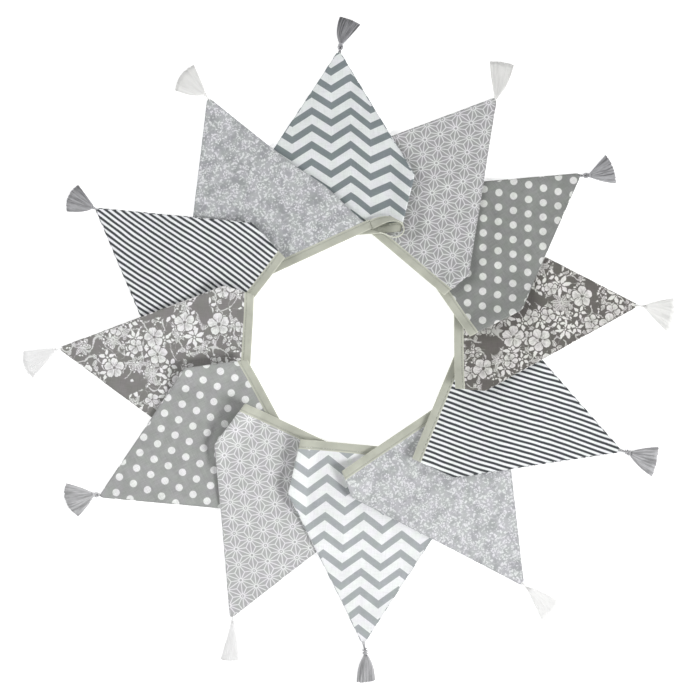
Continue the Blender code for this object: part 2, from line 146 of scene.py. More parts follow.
# One pennant's print runs down askew towards its fold
SHEARED = 1
SHEAR = 0.18
SHEAR_FROM = 6.0
# The weave pulls every print aside a little, and the stripes show it more, in millimetres
PULL = 0.5
PULL_LENGTH = 42.0
STRIPE_BEND = 0.9
STRIPE_BEND_LENGTH = 130.0
STRIPE_BEND_FROM = 92.0
STRIPE_WAVER = 0.35
STRIPE_WAVER_LENGTH = 14.0
# Painted light: share of white in the dark and the light dye of pennants lying in brighter light
PAINTED_LIGHTER = {6: (0.09, 0.13), 7: (0.25, 0.54), 8: (0.17, 0.53), 9: (0.16, 0.52),
                10: (0.12, 0.66)}
# How unevenly the dye of a print has taken, where more than in the others
MOTTLED = {"dots": 0.18, "large_floral": 0.12, "chevron": 0.1}
# Height of a chevron from valley to peak, and its dark band measured along the second repeat
CHEVRON_RISE = {1: 12.6, 7: 14.4}
CHEVRON_BAND = {1: 7.6, 7: 8.2}

# ---- creases of each pennant ----
# From one place of the cloth to another (u, v), height of the ridge (below 0 a trough) and its
# half width, all in millimetres.
Crease = namedtuple("Crease", "u0 v0 u1 v1 height width")
CREASES = {
    1: ((12, 174, -11, 163, 0.7, 4), (-44, 121, -24, 88, 0.6, 7), (29, 122, 4, 86, 0.5, 7),
        (44, 55, 10, 30, 0.7, 8)),
    2: ((-52, 98, 30, 125, -1.5, 9), (0, 64, 34, 111, 1.5, 9), (-3, 53, 32, 30, -1.3, 9),
        (37, 64, 69, 17, 1, 8), (-11, 157, -22, 124, 0.9, 6)),
    3: ((-35, 101, 19, 56, -1.5, 13), (-2, 142, 7, 106, -0.8, 8), (28, 31, 66, 65, 0.9, 9),
        (29, 109, 20, 79, 0.6, 8)),
    4: ((23, 46, 16, 92, -0.9, 8), (-21, 107, -6, 147, 0.6, 6), (63, 26, 46, 66, 0.7, 7)),
    5: ((12, 8, 17, 88, -1.5, 9), (-12, 98, 3, 113, 0.9, 4), (29, 50, 43, 91, 0.8, 6),
        (51, 40, 68, 56, -0.7, 6), (-9, 132, 0, 164, 0.5, 6)),
    6: ((65, 24, 28, 61, 0.9, 4), (71, 39, 32, 78, 0.8, 4.5), (-4, 96, 5, 163, 0.7, 8),
        (5, 55, -12, 102, -0.8, 9), (-1, 168, 1, 192, -0.5, 5)),
    7: ((75, 37, 56, 91, -1.1, 8), (50, 29, 21, 116, 0.7, 9), (-14, 58, -1, 114, 0.8, 9),
        (6, 145, -3, 179, 0.5, 5)),
    8: ((47, 15, -3, 135, 0.6, 9), (50, 94, 4, 161, 0.5, 7), (25, 16, 3, 71, -1.2, 8)),
    9: ((16, 58, -42, 95, -1.4, 8), (38, 87, -21, 134, 1.1, 9), (25, 80, -28, 108, -0.7, 6),
        (38, 148, -4, 167, 0.9, 3.5), (25, 143, -6, 153, 0.8, 3.5), (17, 132, -27, 130, 0.8, 5),
        (46, 18, 16, 16, -1, 7)),
    10: ((57, 50, 11, 56, 0.8, 8), (59, 19, 14, 10, -1, 8), (24, 103, 3, 71, 0.6, 7),
         (-10, 76, -4, 36, -1, 7)),
    11: ((-2, 113, -22, 62, -1.6, 8), (15, 142, 8, 53, 1.2, 11), (-32, 104, -49, 75, -1.2, 6),
         (45, 75, 47, 34, 1.5, 9), (38, 103, -3, 97, 0.9, 7), (53, 26, 75, 20, 0.9, 5)),
    12: ((-21, 109, -16, 77, 2, 2.8), (-34, 127, -29, 109, 1.6, 2.6), (22, 73, 28, 53, 1.7, 2.8),
         (-59, 83, -5, 47, -1.2, 8), (-6, 49, 8, 3, -1.3, 9), (6, 152, 14, 122, -0.8, 7),
         (-43, 99, -28, 82, 0.8, 4), (45, 65, 64, 33, 0.7, 8), (2, 173, -24, 141, 0.5, 6)),
}
UNEVEN_HEIGHT = 0.8 * MM
UNEVEN_LENGTH = 34.0 * MM
UNEVEN_MEAN = 0.4             # of the height
UNEVEN_FINE = 0.35            # a finer unevenness lies on it, this high and so many times finer
UNEVEN_FINER = 2.7
CREASE_BENDS = 3.0
CREASE_FLAT = 0.7             # below 1, a crease keeps its height over more of its length
CREASE_WANDER = 0.6           # of a crease's half width, to either side
SINK_SHARE = 0.45             # of the pitch: lower, the cloth would touch what lies below it
COVER_EASE = 9.0 * MM         # relief fades out this far before an overlying pennant
TAPE_EASE = 12.0 * MM         # and this far before the tape
# The folded cloth springs up along its fold by the first of these, and by the second as well
# at the corner, where the tape folds with it, in millimetres
SPRINGS = {
    1: (3.6, 4.6), 2: (3.2, 1.5), 3: (6.0, 2.0), 4: (4.6, 5.6), 5: (0.5, 4.6), 6: (2.2, 4.6),
    7: (6.6, 1.0), 8: (5.6, 4.6), 9: (6.0, 3.0), 10: (6.0, 3.4), 11: (5.4, 3.6),
}
FOLD_SPRING_WIDTH = 22.0 * MM
CORNER_SPRING_LENGTH = 28.0 * MM
SPRING_WAVE = 0.4             # the spring wavers by this share
SPRING_WAVE_LENGTH = 16.0 * MM
REACH_OVER = 4                # pennants that may cover a given one

# Where a sewn edge bulges out: between two v along the edge after, by this much, in millimetres
EDGE_BULGES = {12: (12.0, 100.0, 3.6)}

# ---- tape ----
TAPE_EDGES = (0.0, TAPE_WIDTH)
TAPE_STEP = 2.5 * MM
TAPE_SWELL = 0.05             # its thickness wavers by this share
TAPE_SWELL_LENGTH = 7.0 * MM
TURN_STEPS = 8
BACK_STEPS = 32
BACK_PULL = 1 / 3
TANGENT_STEP = 0.001
# Section of the folded tape, from its folded edge to its open edge: share of the width, share
# of the half thickness. The outer face has a groove where it is sewn; the inner face lies on
# the cloth.
TAPE_OUTER = (
    (0.0, 0.0), (0.012, 0.45), (0.05, 0.80), (0.14, 0.97), (0.35, 1.0), (0.58, 0.99),
    (0.70, 0.95), (0.745, 0.80), (0.775, 0.42), (0.805, 0.72), (0.86, 0.86), (0.945, 0.86),
    (0.99, 0.76), (1.0, 0.64),
)
TAPE_INNER = ((1.0, 0.50), (0.5, 0.55), (0.12, 0.50), (0.07, 0.0))
STITCH_SPOT = 0.775           # of the tape's width
STITCH_LENGTH = 2.1 * MM
STITCH_HALF = 0.16 * MM
STITCH_END = 0.55             # its thickness where it dips into the cloth
STITCH_SUNK = 0.08 * MM
STITCH_ARCH = 0.16 * MM
STITCH_SIDES = 5
STITCH_SEGMENTS = 4

# ---- tassels ----
# How much darker the streaks of a yarn are: partly its own uneven dye, partly painted shade
# between bundles of strands
YARN_STREAKS_AND_SHADE = {"grey": 0.28, "white": 0.05}
# Neck of each fan of yarn, the two corners of its cut end as seen from the neck, how far its
# sides and its end bulge out, all in millimetres; share of white in the dye, partly the yarn's
# own shade and partly painted light; kind of knot
Tassel = namedtuple("Tassel", "yarn x y left_x left_y right_x right_y left_out right_out end_out "
                              "pale knot")
TASSEL_ROWS = [Tassel(*row) for row in (
    ("grey", -7.4, 305.8, -8.5, 332.3, 11.7, 324.5, 2.6, 0.3, 1.0, 0.00, "ring"),
    ("white", 147.9, 251.4, 141.3, 287.9, 165.6, 284.1, 0.6, 2.2, 1.0, 0.00, "none"),
    ("grey", 241.4, 173.8, 257.0, 194.5, 267.2, 166.1, 0.0, 1.2, 2.6, 0.13, "ring"),
    ("white", 296.8, 43.1, 325.1, 51.3, 319.5, 16.8, 0.8, 0.5, 3.0, 0.15, "none"),
    ("grey", 282.0, -103.8, 309.8, -97.4, 303.3, -127.2, 0.8, 1.8, 1.2, 0.30, "knot"),
    ("white", 179.6, -239.0, 211.8, -253.2, 194.0, -271.9, 1.4, -0.4, 2.0, 0.55, "none"),
    ("grey", 17.3, -305.6, 26.4, -330.6, 8.3, -332.5, 2.0, 2.0, 1.0, 0.32, "knot"),
    ("white", -115.7, -271.1, -109.7, -310.6, -127.8, -309.7, 0.9, -0.5, 1.0, 0.95, "none"),
    ("grey", -255.1, -145.2, -270.1, -166.9, -282.2, -133.8, 1.0, 0.9, 6.5, 0.46, "ring"),
    ("white", -292.4, -0.4, -315.3, -28.7, -324.6, -1.7, 0.0, 0.8, 4.2, 0.95, "none"),
    ("grey", -255.8, 142.2, -281.3, 137.8, -270.1, 164.3, 1.8, 0.1, 4.6, 0.17, "none"),
    ("white", -143.4, 255.2, -173.5, 258.8, -154.5, 284.5, 2.0, 0.3, 4.2, 0.20, "none"),
)]
ROOT_HALF = 1.8 * MM
SKIRT_NECK = 3.2 * MM         # height of the skirt at its neck, its end and its sides
SKIRT_END = 1.7 * MM
SKIRT_RIM = 0.45 * MM
BODY_ROWS = 12
BODY_COLUMNS = 20
BODY_END = 0.975
BODY_FLOOR = 0.1 * MM
BODY_SUNK = 0.1 * MM          # the strands lie this far out of it
STREAKS = 9.0                 # the map runs this far from a fan's middle to its side
STRAND_SIDES = 4
STRAND_SEGMENTS = 8
CORD_HALF = 0.62 * MM
CORD_SIDES = 8
CORD_POINTS = 12
CORD_RISE = 0.5 * MM          # from the pennant's point to the neck
WRAP_HALF = 0.58 * MM
WRAP_SIDES = 6
WRAP_POINTS = 12
WRAP_FLAT = 0.9               # a wrap's height as a share of its width
# Wraps of a knot: where along the cord, their radius, and how far they stand askew
Wrap = namedtuple("Wrap", "at reach tilt")
KNOTS = {
    "none": (),
    "knot": (Wrap(0.60, 1.8, 0.5), Wrap(0.68, 2.3, -0.5), Wrap(0.76, 2.4, 0.5),
             Wrap(0.84, 2.3, -0.4), Wrap(0.93, 1.9, 0.2)),
    "ring": (Wrap(0.93, 1.9, 0.3), Wrap(0.99, 1.8, -0.2)),
}
RING_AT = 0.66
RING_REACH = 2.2 * MM
RING_HALF = 0.75 * MM
RING_LIFT = 1.9 * MM
RING_TILT = 0.4 * MM
RING_LONG = 1.15              # its length along the cord as a share of its width


# ---- colours ----
def srgb(code):
    """Linear red, green and blue of an sRGB hex colour."""
    linear = []
    for start in (1, 3, 5):
        share = int(code[start:start + 2], 16) / 255
        linear.append(share / 12.92 if share <= 0.04045 else ((share + 0.055) / 1.055) ** 2.4)
    return tuple(linear)


# ---- settings ----
def colour_setting(name, description, code):
    return bpy.props.FloatVectorProperty(
        name=name, description=description, subtype="COLOR", size=3,
        default=srgb(code), min=0.0, max=1.0)


def length_setting(name, description, size, low, high):
    return bpy.props.FloatProperty(
        name=name, description=description, default=size * MM, min=low * MM, max=high * MM,
        unit="LENGTH")


class ClothSettings(bpy.types.PropertyGroup):
    relief: bpy.props.FloatProperty(
        name="Relief", description="How strongly the creases stand out",
        default=1.0, min=0.0, max=2.0, subtype="FACTOR")
    thread: length_setting("Thread spacing", "Spacing of the cotton threads", 0.45, 0.2, 2.0)
    dot: length_setting("Dot", "Diameter of the dots", 7.4, 2.0, 12.0)
    leaf_line: length_setting("Leaf line", "Width of the hemp-leaf lines", 1.0, 0.3, 2.0)
    chevron_dark: colour_setting("Chevron dark", "Dark bands of the chevron", "#818A8C")
    chevron_light: colour_setting("Chevron light", "Ground between the bands", "#E5E8E8")
    hemp_leaf_dark: colour_setting("Leaf ground", "Ground of the hemp-leaf print", "#A4A4A4")
    hemp_leaf_light: colour_setting("Leaf pale", "Lines of the hemp-leaf print", "#E8E8E8")
    dots_dark: colour_setting("Dot ground", "Ground of the dotted print", "#8D8F8C")
    dots_light: colour_setting("Dot light", "The dots", "#DCDDD9")
    large_floral_dark: colour_setting("Floral ground", "Ground of the large floral", "#6B6864")
    large_floral_light: colour_setting("Floral light", "Flowers of the large floral", "#E5E3DF")
    small_floral_dark: colour_setting("Sprig ground", "Ground of the small floral", "#A0A2A4")
    small_floral_light: colour_setting("Sprig light", "Sprigs of the small floral", "#E4E5E6")
    stripes_dark: colour_setting("Stripe dark", "Dark stripes", "#44474A")
    stripes_light: colour_setting("Stripe light", "Light stripes", "#F7F9FA")


class TapeSettings(bpy.types.PropertyGroup):
    stitch: length_setting("Stitch", "Length of one stitch with its gap", 2.6, 2.2, 5.0)
    cloth: colour_setting("Tape", "Sage green bias tape", "#BDBFB2")
    thread: colour_setting("Thread", "Sewing thread", "#B9BBAE")


class TasselSettings(bpy.types.PropertyGroup):
    strands: bpy.props.IntProperty(
        name="Strands", description="Strands in one tassel", default=120, min=20, max=300)
    strand: length_setting("Strand", "Thickness of one strand", 0.66, 0.3, 1.5)
    grey: colour_setting("Grey yarn", "Yarn of the grey tassels", "#B4B4B8")
    white: colour_setting("White yarn", "Yarn of the white tassels", "#F5F5F3")


class StageSettings(bpy.types.PropertyGroup):
    lens: bpy.props.FloatProperty(
        name="Lens", description="Focal length of the camera, in millimetres",
        default=100.0, min=35.0, max=200.0)
    key: bpy.props.FloatProperty(
        name="Key light", description="Power of the light from the right, in watts",
        default=84.0, min=0.0, max=500.0)
    fill: bpy.props.FloatProperty(
        name="Fill light", description="Power of the light from the left, in watts",
        default=41.0, min=0.0, max=500.0)
    tent: bpy.props.FloatProperty(
        name="Tent", description="Strength of the light from the white walls all round",
        default=1.21, min=0.0, max=2.0)
    floor: colour_setting("Floor", "Pale studio floor", "#FBFBFB")


# ---- layout ----
def compass(bearing):
    """Unit vector in plan along a compass bearing."""
    angle = math.radians(bearing)
    return Vector((math.sin(angle), math.cos(angle)))


def smooth_step(value):
    """0 below 0, 1 above 1, and half a cosine wave between."""
    value = min(max(value, 0.0), 1.0)
    return 0.5 - 0.5 * math.cos(math.pi * value)


def evenly(start, stop, count):
    """Values from start to stop in evenly spaced steps."""
    return [start + (stop - start) * step / count for step in range(count + 1)]


def stack_share(radius):
    """Share of the full pitch that is left at a distance from the ring's centre."""
    return 1.0 - smooth_step((radius - STACK_RADIUS) / (FLAT_RADIUS - STACK_RADIUS))


def underside(number, place):
    """Height of the underside of pennant `number` at a place in plan, and the pitch there."""
    arm = place - RING_CENTRE
    bearing = math.degrees(math.atan2(arm.x, arm.y)) - STEP_ANGLE * (number - 1)
    bearing = (bearing + 180.0) % 360.0 - 180.0
    pitch = PITCH * stack_share(arm.length)
    height = pitch * max(bearing + LOW_ANGLE, 0.0) / STEP_ANGLE
    ripple_at = (arm.length - RIPPLE_FROM) / (RIPPLE_TO - RIPPLE_FROM)
    if 0.0 < ripple_at < 1.0:
        across = arm.length * math.radians(bearing)
        wave = 0.5 - 0.5 * math.cos(2 * math.pi * across / RIPPLE_LENGTH + number)
        height += RIPPLE_HEIGHT * wave * math.sin(math.pi * ripple_at) ** 2
    return height, pitch


class PennantFrame:
    """Plan frame of one pennant: u along its top edge, v from the tape's inner edge out."""

    def __init__(self, number):
        row = PENNANT_ROWS[number - 1]
        self.number = number
        self.name = f"pennant_{number:02d}_{row.print}"
        self.print = row.print
        self.apex = Vector((row.x, row.y)) * MM
        self.along = compass(row.run)
        self.out = compass(row.run - 90.0)
        self.height = row.height * MM
        self.before = row.before * MM
        self.after = row.after * MM
        self.tuck = row.tuck * MM
        self.folded = row.tuck > 0.0
        slant = math.radians(row.slant)
        self.fold_foot = Vector((self.after - self.tuck, 0.0))
        self.fold_way = Vector((math.sin(slant), math.cos(slant)))
        self.fold_normal = Vector((math.cos(slant), -math.sin(slant)))
        self.creases = [Crease(*row) for row in CREASES[number]]
        self.covers = []

    def edge_before(self, v):
        return -self.before * (1.0 - v / self.height)

    def edge_after(self, v):
        return self.after * (1.0 - v / self.height)

    def past_fold(self, flat):
        """Distance of a point of the flat cloth past the fold line."""
        return (flat - self.fold_foot).dot(self.fold_normal)

    def u_past_fold(self, turn, v):
        """The u of the point at height v that is `turn` past the fold line."""
        return self.fold_foot.x + (turn - v * self.fold_normal.y) / self.fold_normal.x

    def plan(self, flat):
        """Place in plan of a point (u, v)."""
        return self.apex + self.along * flat.x - self.out * (self.height - flat.y)

    def flat(self, place):
        """The point (u, v) at a place in plan."""
        arm = place - self.apex
        return Vector((arm.dot(self.along), self.height + arm.dot(self.out)))

    def clear_of(self, place):
        """Distance in plan from a place to this pennant's showing outline, 0 inside it."""
        flat = self.flat(place)
        beyond = [0.0, -flat.y]
        for across, half in ((-flat.x, self.before), (flat.x, self.after)):
            past_edge = across - half * (1.0 - flat.y / self.height)
            beyond.append(past_edge * self.height / math.hypot(self.height, half))
        if self.folded:
            beyond.append(self.past_fold(flat))
        return max(beyond)

    def crease_relief(self, flat):
        """Height that the listed creases add at a point of the laid cloth."""
        height = 0.0
        for crease in self.creases:
            start = Vector((crease.u0, crease.v0)) * MM
            way = Vector((crease.u1, crease.v1)) * MM - start
            at = (flat - start).dot(way) / way.length_squared
            if not 0.0 < at < 1.0:
                continue
            wander = noise.noise(Vector((at * CREASE_BENDS, self.number, crease.u0)))
            aside = (flat - start - way * at).dot(Vector((-way.y, way.x)).normalized())
            aside = abs(aside + wander * crease.width * MM * CREASE_WANDER)
            fall = 1.0 - smooth_step(aside / (crease.width * MM))
            height += crease.height * MM * fall * math.sin(math.pi * at) ** CREASE_FLAT
        return height

    def relief(self, place):
        """Height that the cloth's unevenness, creases and springy fold add at a place."""
        if not self.covers:
            return 0.0
        flat = self.flat(place)
        clear = min(cover.clear_of(place) for cover in self.covers)
        free = smooth_step(clear / COVER_EASE) * bpy.context.scene.bunting_cloth.relief
        if free == 0.0:
            return 0.0
        height = 0.0
        loose = smooth_step((flat.y - TAPE_WIDTH) / TAPE_EASE)
        if loose > 0.0:
            spot = Vector((flat.x, flat.y, self.number * 10.0 * MM)) / UNEVEN_LENGTH
            waves = noise.noise(spot) + UNEVEN_FINE * noise.noise(spot * UNEVEN_FINER)
            height = UNEVEN_HEIGHT * (waves + UNEVEN_MEAN) + self.crease_relief(flat)
            height = max(height, -SINK_SHARE * underside(self.number, place)[1]) * loose
        if self.folded:
            inward = max(-self.past_fold(flat), 0.0)
            from_tape = max(flat.y - TAPE_WIDTH, 0.0)
            spring = 1.0 - smooth_step(inward / FOLD_SPRING_WIDTH)
            wave = Vector((from_tape / SPRING_WAVE_LENGTH, self.number, 2.0))
            spring *= 1.0 + SPRING_WAVE * noise.noise(wave)
            corner = 1.0 - smooth_step(from_tape / CORNER_SPRING_LENGTH)
            along_fold, more = SPRINGS[self.number]
            height += spring * (along_fold + more * corner) * MM
        return height * free

    def rest(self, place):
        """Height of the underside at a place with its relief, and the pitch there."""
        height, pitch = underside(self.number, place)
        return height + self.relief(place), pitch

    def lay(self, flat, lift):
        """Place in the ring of a point (u, v), its tucked corner folded under."""
        drop = 0.0
        turn = self.past_fold(flat) + FOLD_RADIUS
        if self.folded and turn > 0.0:
            half_turn = math.pi * FOLD_RADIUS
            if turn < half_turn:
                reach = FOLD_RADIUS * math.sin(turn / FOLD_RADIUS) - FOLD_RADIUS
                drop = FOLD_RADIUS * (1.0 - math.cos(turn / FOLD_RADIUS))
            else:
                reach = half_turn - turn - FOLD_RADIUS
                drop = 2 * FOLD_RADIUS
            way = (flat - self.fold_foot).dot(self.fold_way)
            flat = self.fold_foot + self.fold_way * way + self.fold_normal * reach
        place = self.plan(flat)
        height, pitch = self.rest(place)
        return Vector((*place, height + lift - drop * pitch / PITCH))


def laid_pennants():
    """The frames of all the pennants, each knowing those that may lie over it."""
    pennants = [PennantFrame(number) for number in range(1, PENNANTS + 1)]
    for index, pennant in enumerate(pennants):
        pennant.covers = [pennants[index - 1 - step] for step in range(REACH_OVER)]
    return pennants


# ---- helpers ----
def finish_piece(mesh_source, name, material, nodes):
    """Turn a bmesh into a named, smooth piece of the model that stands for its solids."""
    bmesh.ops.translate(mesh_source, verts=mesh_source.verts[:], vec=-LAYOUT_SHIFT)
    mesh = bpy.data.meshes.new(name)
    mesh_source.to_mesh(mesh)
    mesh_source.free()
    mesh.materials.append(material)
    mesh.shade_smooth()
    piece = bpy.data.objects.new(name, mesh)
    bpy.context.scene.collection.objects.link(piece)
    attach(piece, "root")
    if nodes:
        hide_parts(*nodes)
    return piece


def drop_selection():
    for item in bpy.context.selected_objects:
        item.select_set(False)


def bezier(handles, at):
    """Point on a cubic curve through four handles."""
    start, first, second, end = handles
    rest = 1.0 - at
    return (start * rest ** 3 + first * (3 * at * rest ** 2)
            + second * (3 * at ** 2 * rest) + end * at ** 3)


# ---- materials ----
MIX_A, MIX_B = 6, 7           # the two colours of a Mix node, and its mixed colour
MIX_RESULT = 2


def add_node(tree, kind, *inputs, slots=None, **named):
    """Add one shader node, of a kind and operation, with its first inputs in order.

    An input is a value, or a socket or node to link from. Others follow by their number in
    slots or by name, with a capital, and settings by name without one.
    """
    kind, _, operation = kind.partition(" ")
    item = tree.nodes.new("ShaderNode" + kind)
    if operation:
        item.operation = operation
    sockets = {**dict(enumerate(inputs)), **(slots or {})}
    for name, value in named.items():
        if name[0].isupper():
            sockets[name] = value
        else:
            setattr(item, name, value)
    for key, value in sockets.items():
        if isinstance(value, bpy.types.Node):
            value = value.outputs[MIX_RESULT if value.bl_idname == "ShaderNodeMix" else 0]
        if isinstance(value, bpy.types.NodeSocket):
            tree.links.new(value, item.inputs[key])
        else:
            item.inputs[key].default_value = value
    return item


def new_material(name, roughness, sheen, specular):
    """An empty material, its nodes and its shader, with the finish that is the same all over."""
    material = bpy.data.materials.new(name)
    material.use_nodes = True
    shader = material.node_tree.nodes["Principled BSDF"]
    finish = {"Roughness": roughness, "Sheen Weight": sheen, "Sheen Roughness": 0.5,
              "Specular IOR Level": specular}
    for socket, value in finish.items():
        shader.inputs[socket].default_value = value
    return material, material.node_tree, shader


def opaque(colour):
    return (*colour[:3], 1.0)


def paler(colour, share):
    """A colour with a share of white in it."""
    return [value + (1.0 - value) * share for value in colour]


def patches(tree, place, scale, detail, *reach):
    """A noise, stretched from two of its values to 0 and 1 or to two tones."""
    field = add_node(tree, "TexNoise", Vector=place, Scale=scale, Detail=detail)
    return add_node(tree, "MapRange", field, *reach)


def dye(tree, shader, colour, tone):
    """Give the shader a colour in an uneven tone."""
    toned = add_node(tree, "VectorMath SCALE", colour, Scale=tone)
    tree.links.new(toned.outputs[0], shader.inputs["Base Color"])


def emboss(tree, shader, *layers):
    """Bump the surface in layers, each a height, a strength and a depth in millimetres."""
    below = {}
    for height, strength, deep in layers:
        bump = add_node(tree, "Bump", Height=height, Strength=strength, Distance=deep * MM,
                        **below)
        below = {"Normal": bump}
    tree.links.new(bump.outputs[0], shader.inputs["Normal"])


def plain_weave(tree, cloth, spacing):
    """Threads that pass over and under each other, from -1 to 1."""
    threads = add_node(tree, "VectorMath SCALE", cloth, Scale=math.pi / spacing)
    threads = add_node(tree, "VectorMath SINE", threads)
    split = add_node(tree, "SeparateXYZ", threads)
    return add_node(tree, "Math MULTIPLY", split.outputs[0], split.outputs[1])


def step_mask(tree, value, edge, soft):
    """1 where a value is under an edge, 0 over it, over a soft border."""
    return add_node(tree, "MapRange", value, edge - soft, edge + soft, 1.0, 0.0)


def band_mask(tree, value, low, high, soft):
    """1 between two values, 0 outside them."""
    over = add_node(tree, "MapRange", value, low - soft, low + soft)
    under = step_mask(tree, value, high, soft)
    return add_node(tree, "Math MULTIPLY", over, under)


def repeats(lay):
    """The two repeats of a print, as arms in the cloth."""
    return [Vector((math.cos(math.radians(turn)), math.sin(math.radians(turn)), 0.0)) * length
            for length, turn in ((lay.first, lay.first_turn), (lay.second, lay.second_turn))]


def print_steps(tree, cloth, lay):
    """Repeats counted from the print's start, along its first and second repeat."""
    first, second = repeats(lay)
    area = first.x * second.y - first.y * second.x
    from_start = add_node(tree, "VectorMath SUBTRACT", cloth, (lay.u, lay.v, 0.0))
    steps = []
    for other, sign in ((second, 1.0), (first, -1.0)):
        way = (sign * other.y / area, -sign * other.x / area, 0.0)
        step = add_node(tree, "VectorMath DOT_PRODUCT", from_start, way)
        steps.append(step.outputs["Value"])
    return steps


def chevron_print(tree, cloth, number):
    """1 on the light ground, 0 on the dark zigzag bands."""
    lay = PRINT_LAYS[number]
    across, down = print_steps(tree, cloth, lay)
    rise = CHEVRON_RISE[number] / lay.second
    fold = add_node(tree, "Math PINGPONG", across, 0.5)
    drop = add_node(tree, "Math MULTIPLY_ADD", fold, -2.0 * rise, down)
    place = add_node(tree, "Math FRACT", drop)
    half = CHEVRON_BAND[number] / lay.second / 2
    from_band = add_node(tree, "Math SUBTRACT", place, half)
    away = add_node(tree, "Math PINGPONG", from_band, 0.5)
    return add_node(tree, "MapRange", away, half - 0.012, half + 0.012)


def stripe_print(tree, cloth, number):
    """1 on the light ground, 0 on the dark pinstripes."""
    across, _ = print_steps(tree, cloth, PRINT_LAYS[number])
    away = add_node(tree, "Math PINGPONG", across, 0.5)
    return add_node(tree, "MapRange", away, 0.18, 0.33)


def dot_print(tree, cloth, number):
    """1 on the dots, 0 on the ground."""
    lay = PRINT_LAYS[number]
    steps = add_node(tree, "CombineXYZ", *print_steps(tree, cloth, lay))
    cell = add_node(tree, "VectorMath WRAP", steps, (0.5, 0.5, 0.5), (-0.5, -0.5, -0.5))
    split = add_node(tree, "SeparateXYZ", cell)
    arms = [add_node(tree, "VectorMath SCALE", repeat, Scale=share)
            for repeat, share in zip(repeats(lay), split.outputs)]
    arm = add_node(tree, "VectorMath ADD", *arms)
    away = add_node(tree, "VectorMath LENGTH", arm).outputs["Value"]
    radius = bpy.context.scene.bunting_cloth.dot / MM / 2
    ragged = add_node(tree, "TexNoise", Vector=cloth, Scale=1.1, Detail=1.0)
    rim = add_node(tree, "Math MULTIPLY_ADD", ragged, 0.35, away)
    return step_mask(tree, rim, radius + 0.17, 0.22)


def leaf_print(tree, cloth, number):
    """1 on the lines of the hemp-leaf lattice, 0 on the ground."""
    lay = PRINT_LAYS[number]
    side = (lay.first + lay.second) / 2
    first, second = print_steps(tree, cloth, lay)
    # The lattice is drawn on even triangles, whose repeats stand 120 degrees apart
    along = add_node(tree, "Math MULTIPLY_ADD", second, -0.5 * side, 0.0)
    along = add_node(tree, "Math MULTIPLY_ADD", first, side, along)
    up = add_node(tree, "Math MULTIPLY", second, side * math.sqrt(0.75))
    even = add_node(tree, "CombineXYZ", along, up)
    half = (side / 2, side * math.sqrt(0.75), 1.0)
    low = tuple(-value for value in half)
    arms = []
    lengths = []
    for corners in (even, add_node(tree, "VectorMath ADD", even, half)):
        arms.append(add_node(tree, "VectorMath WRAP", corners, half, low))
        lengths.append(add_node(tree, "VectorMath LENGTH", arms[-1]).outputs["Value"])
    nearer = add_node(tree, "Math LESS_THAN", *lengths)
    arm = add_node(tree, "Mix", nearer, slots={4: arms[1], 5: arms[0]}, data_type="VECTOR")
    split = add_node(tree, "SeparateXYZ", arm.outputs[1])
    radius = add_node(tree, "Math MINIMUM", *lengths)
    angle = add_node(tree, "Math ARCTAN2", split.outputs[1], split.outputs[0])
    off_ray = add_node(tree, "Math PINGPONG", angle, math.pi / 12)
    sine = add_node(tree, "Math SINE", off_ray)
    away = add_node(tree, "Math MULTIPLY", sine, radius)
    width = bpy.context.scene.bunting_cloth.leaf_line / MM / 2
    rays = step_mask(tree, away, width, 0.25)
    hub = step_mask(tree, radius, 1.7, 0.2)
    rays = add_node(tree, "Math SUBTRACT", rays, hub, use_clamp=True)
    rays = add_node(tree, "Math MULTIPLY", rays, 0.82)
    ring = band_mask(tree, radius, 1.65, 2.5, 0.25)
    dot = step_mask(tree, radius, 0.65, 0.25)
    centre = add_node(tree, "Math MAXIMUM", ring, dot)
    return add_node(tree, "Math MAXIMUM", rays, centre)


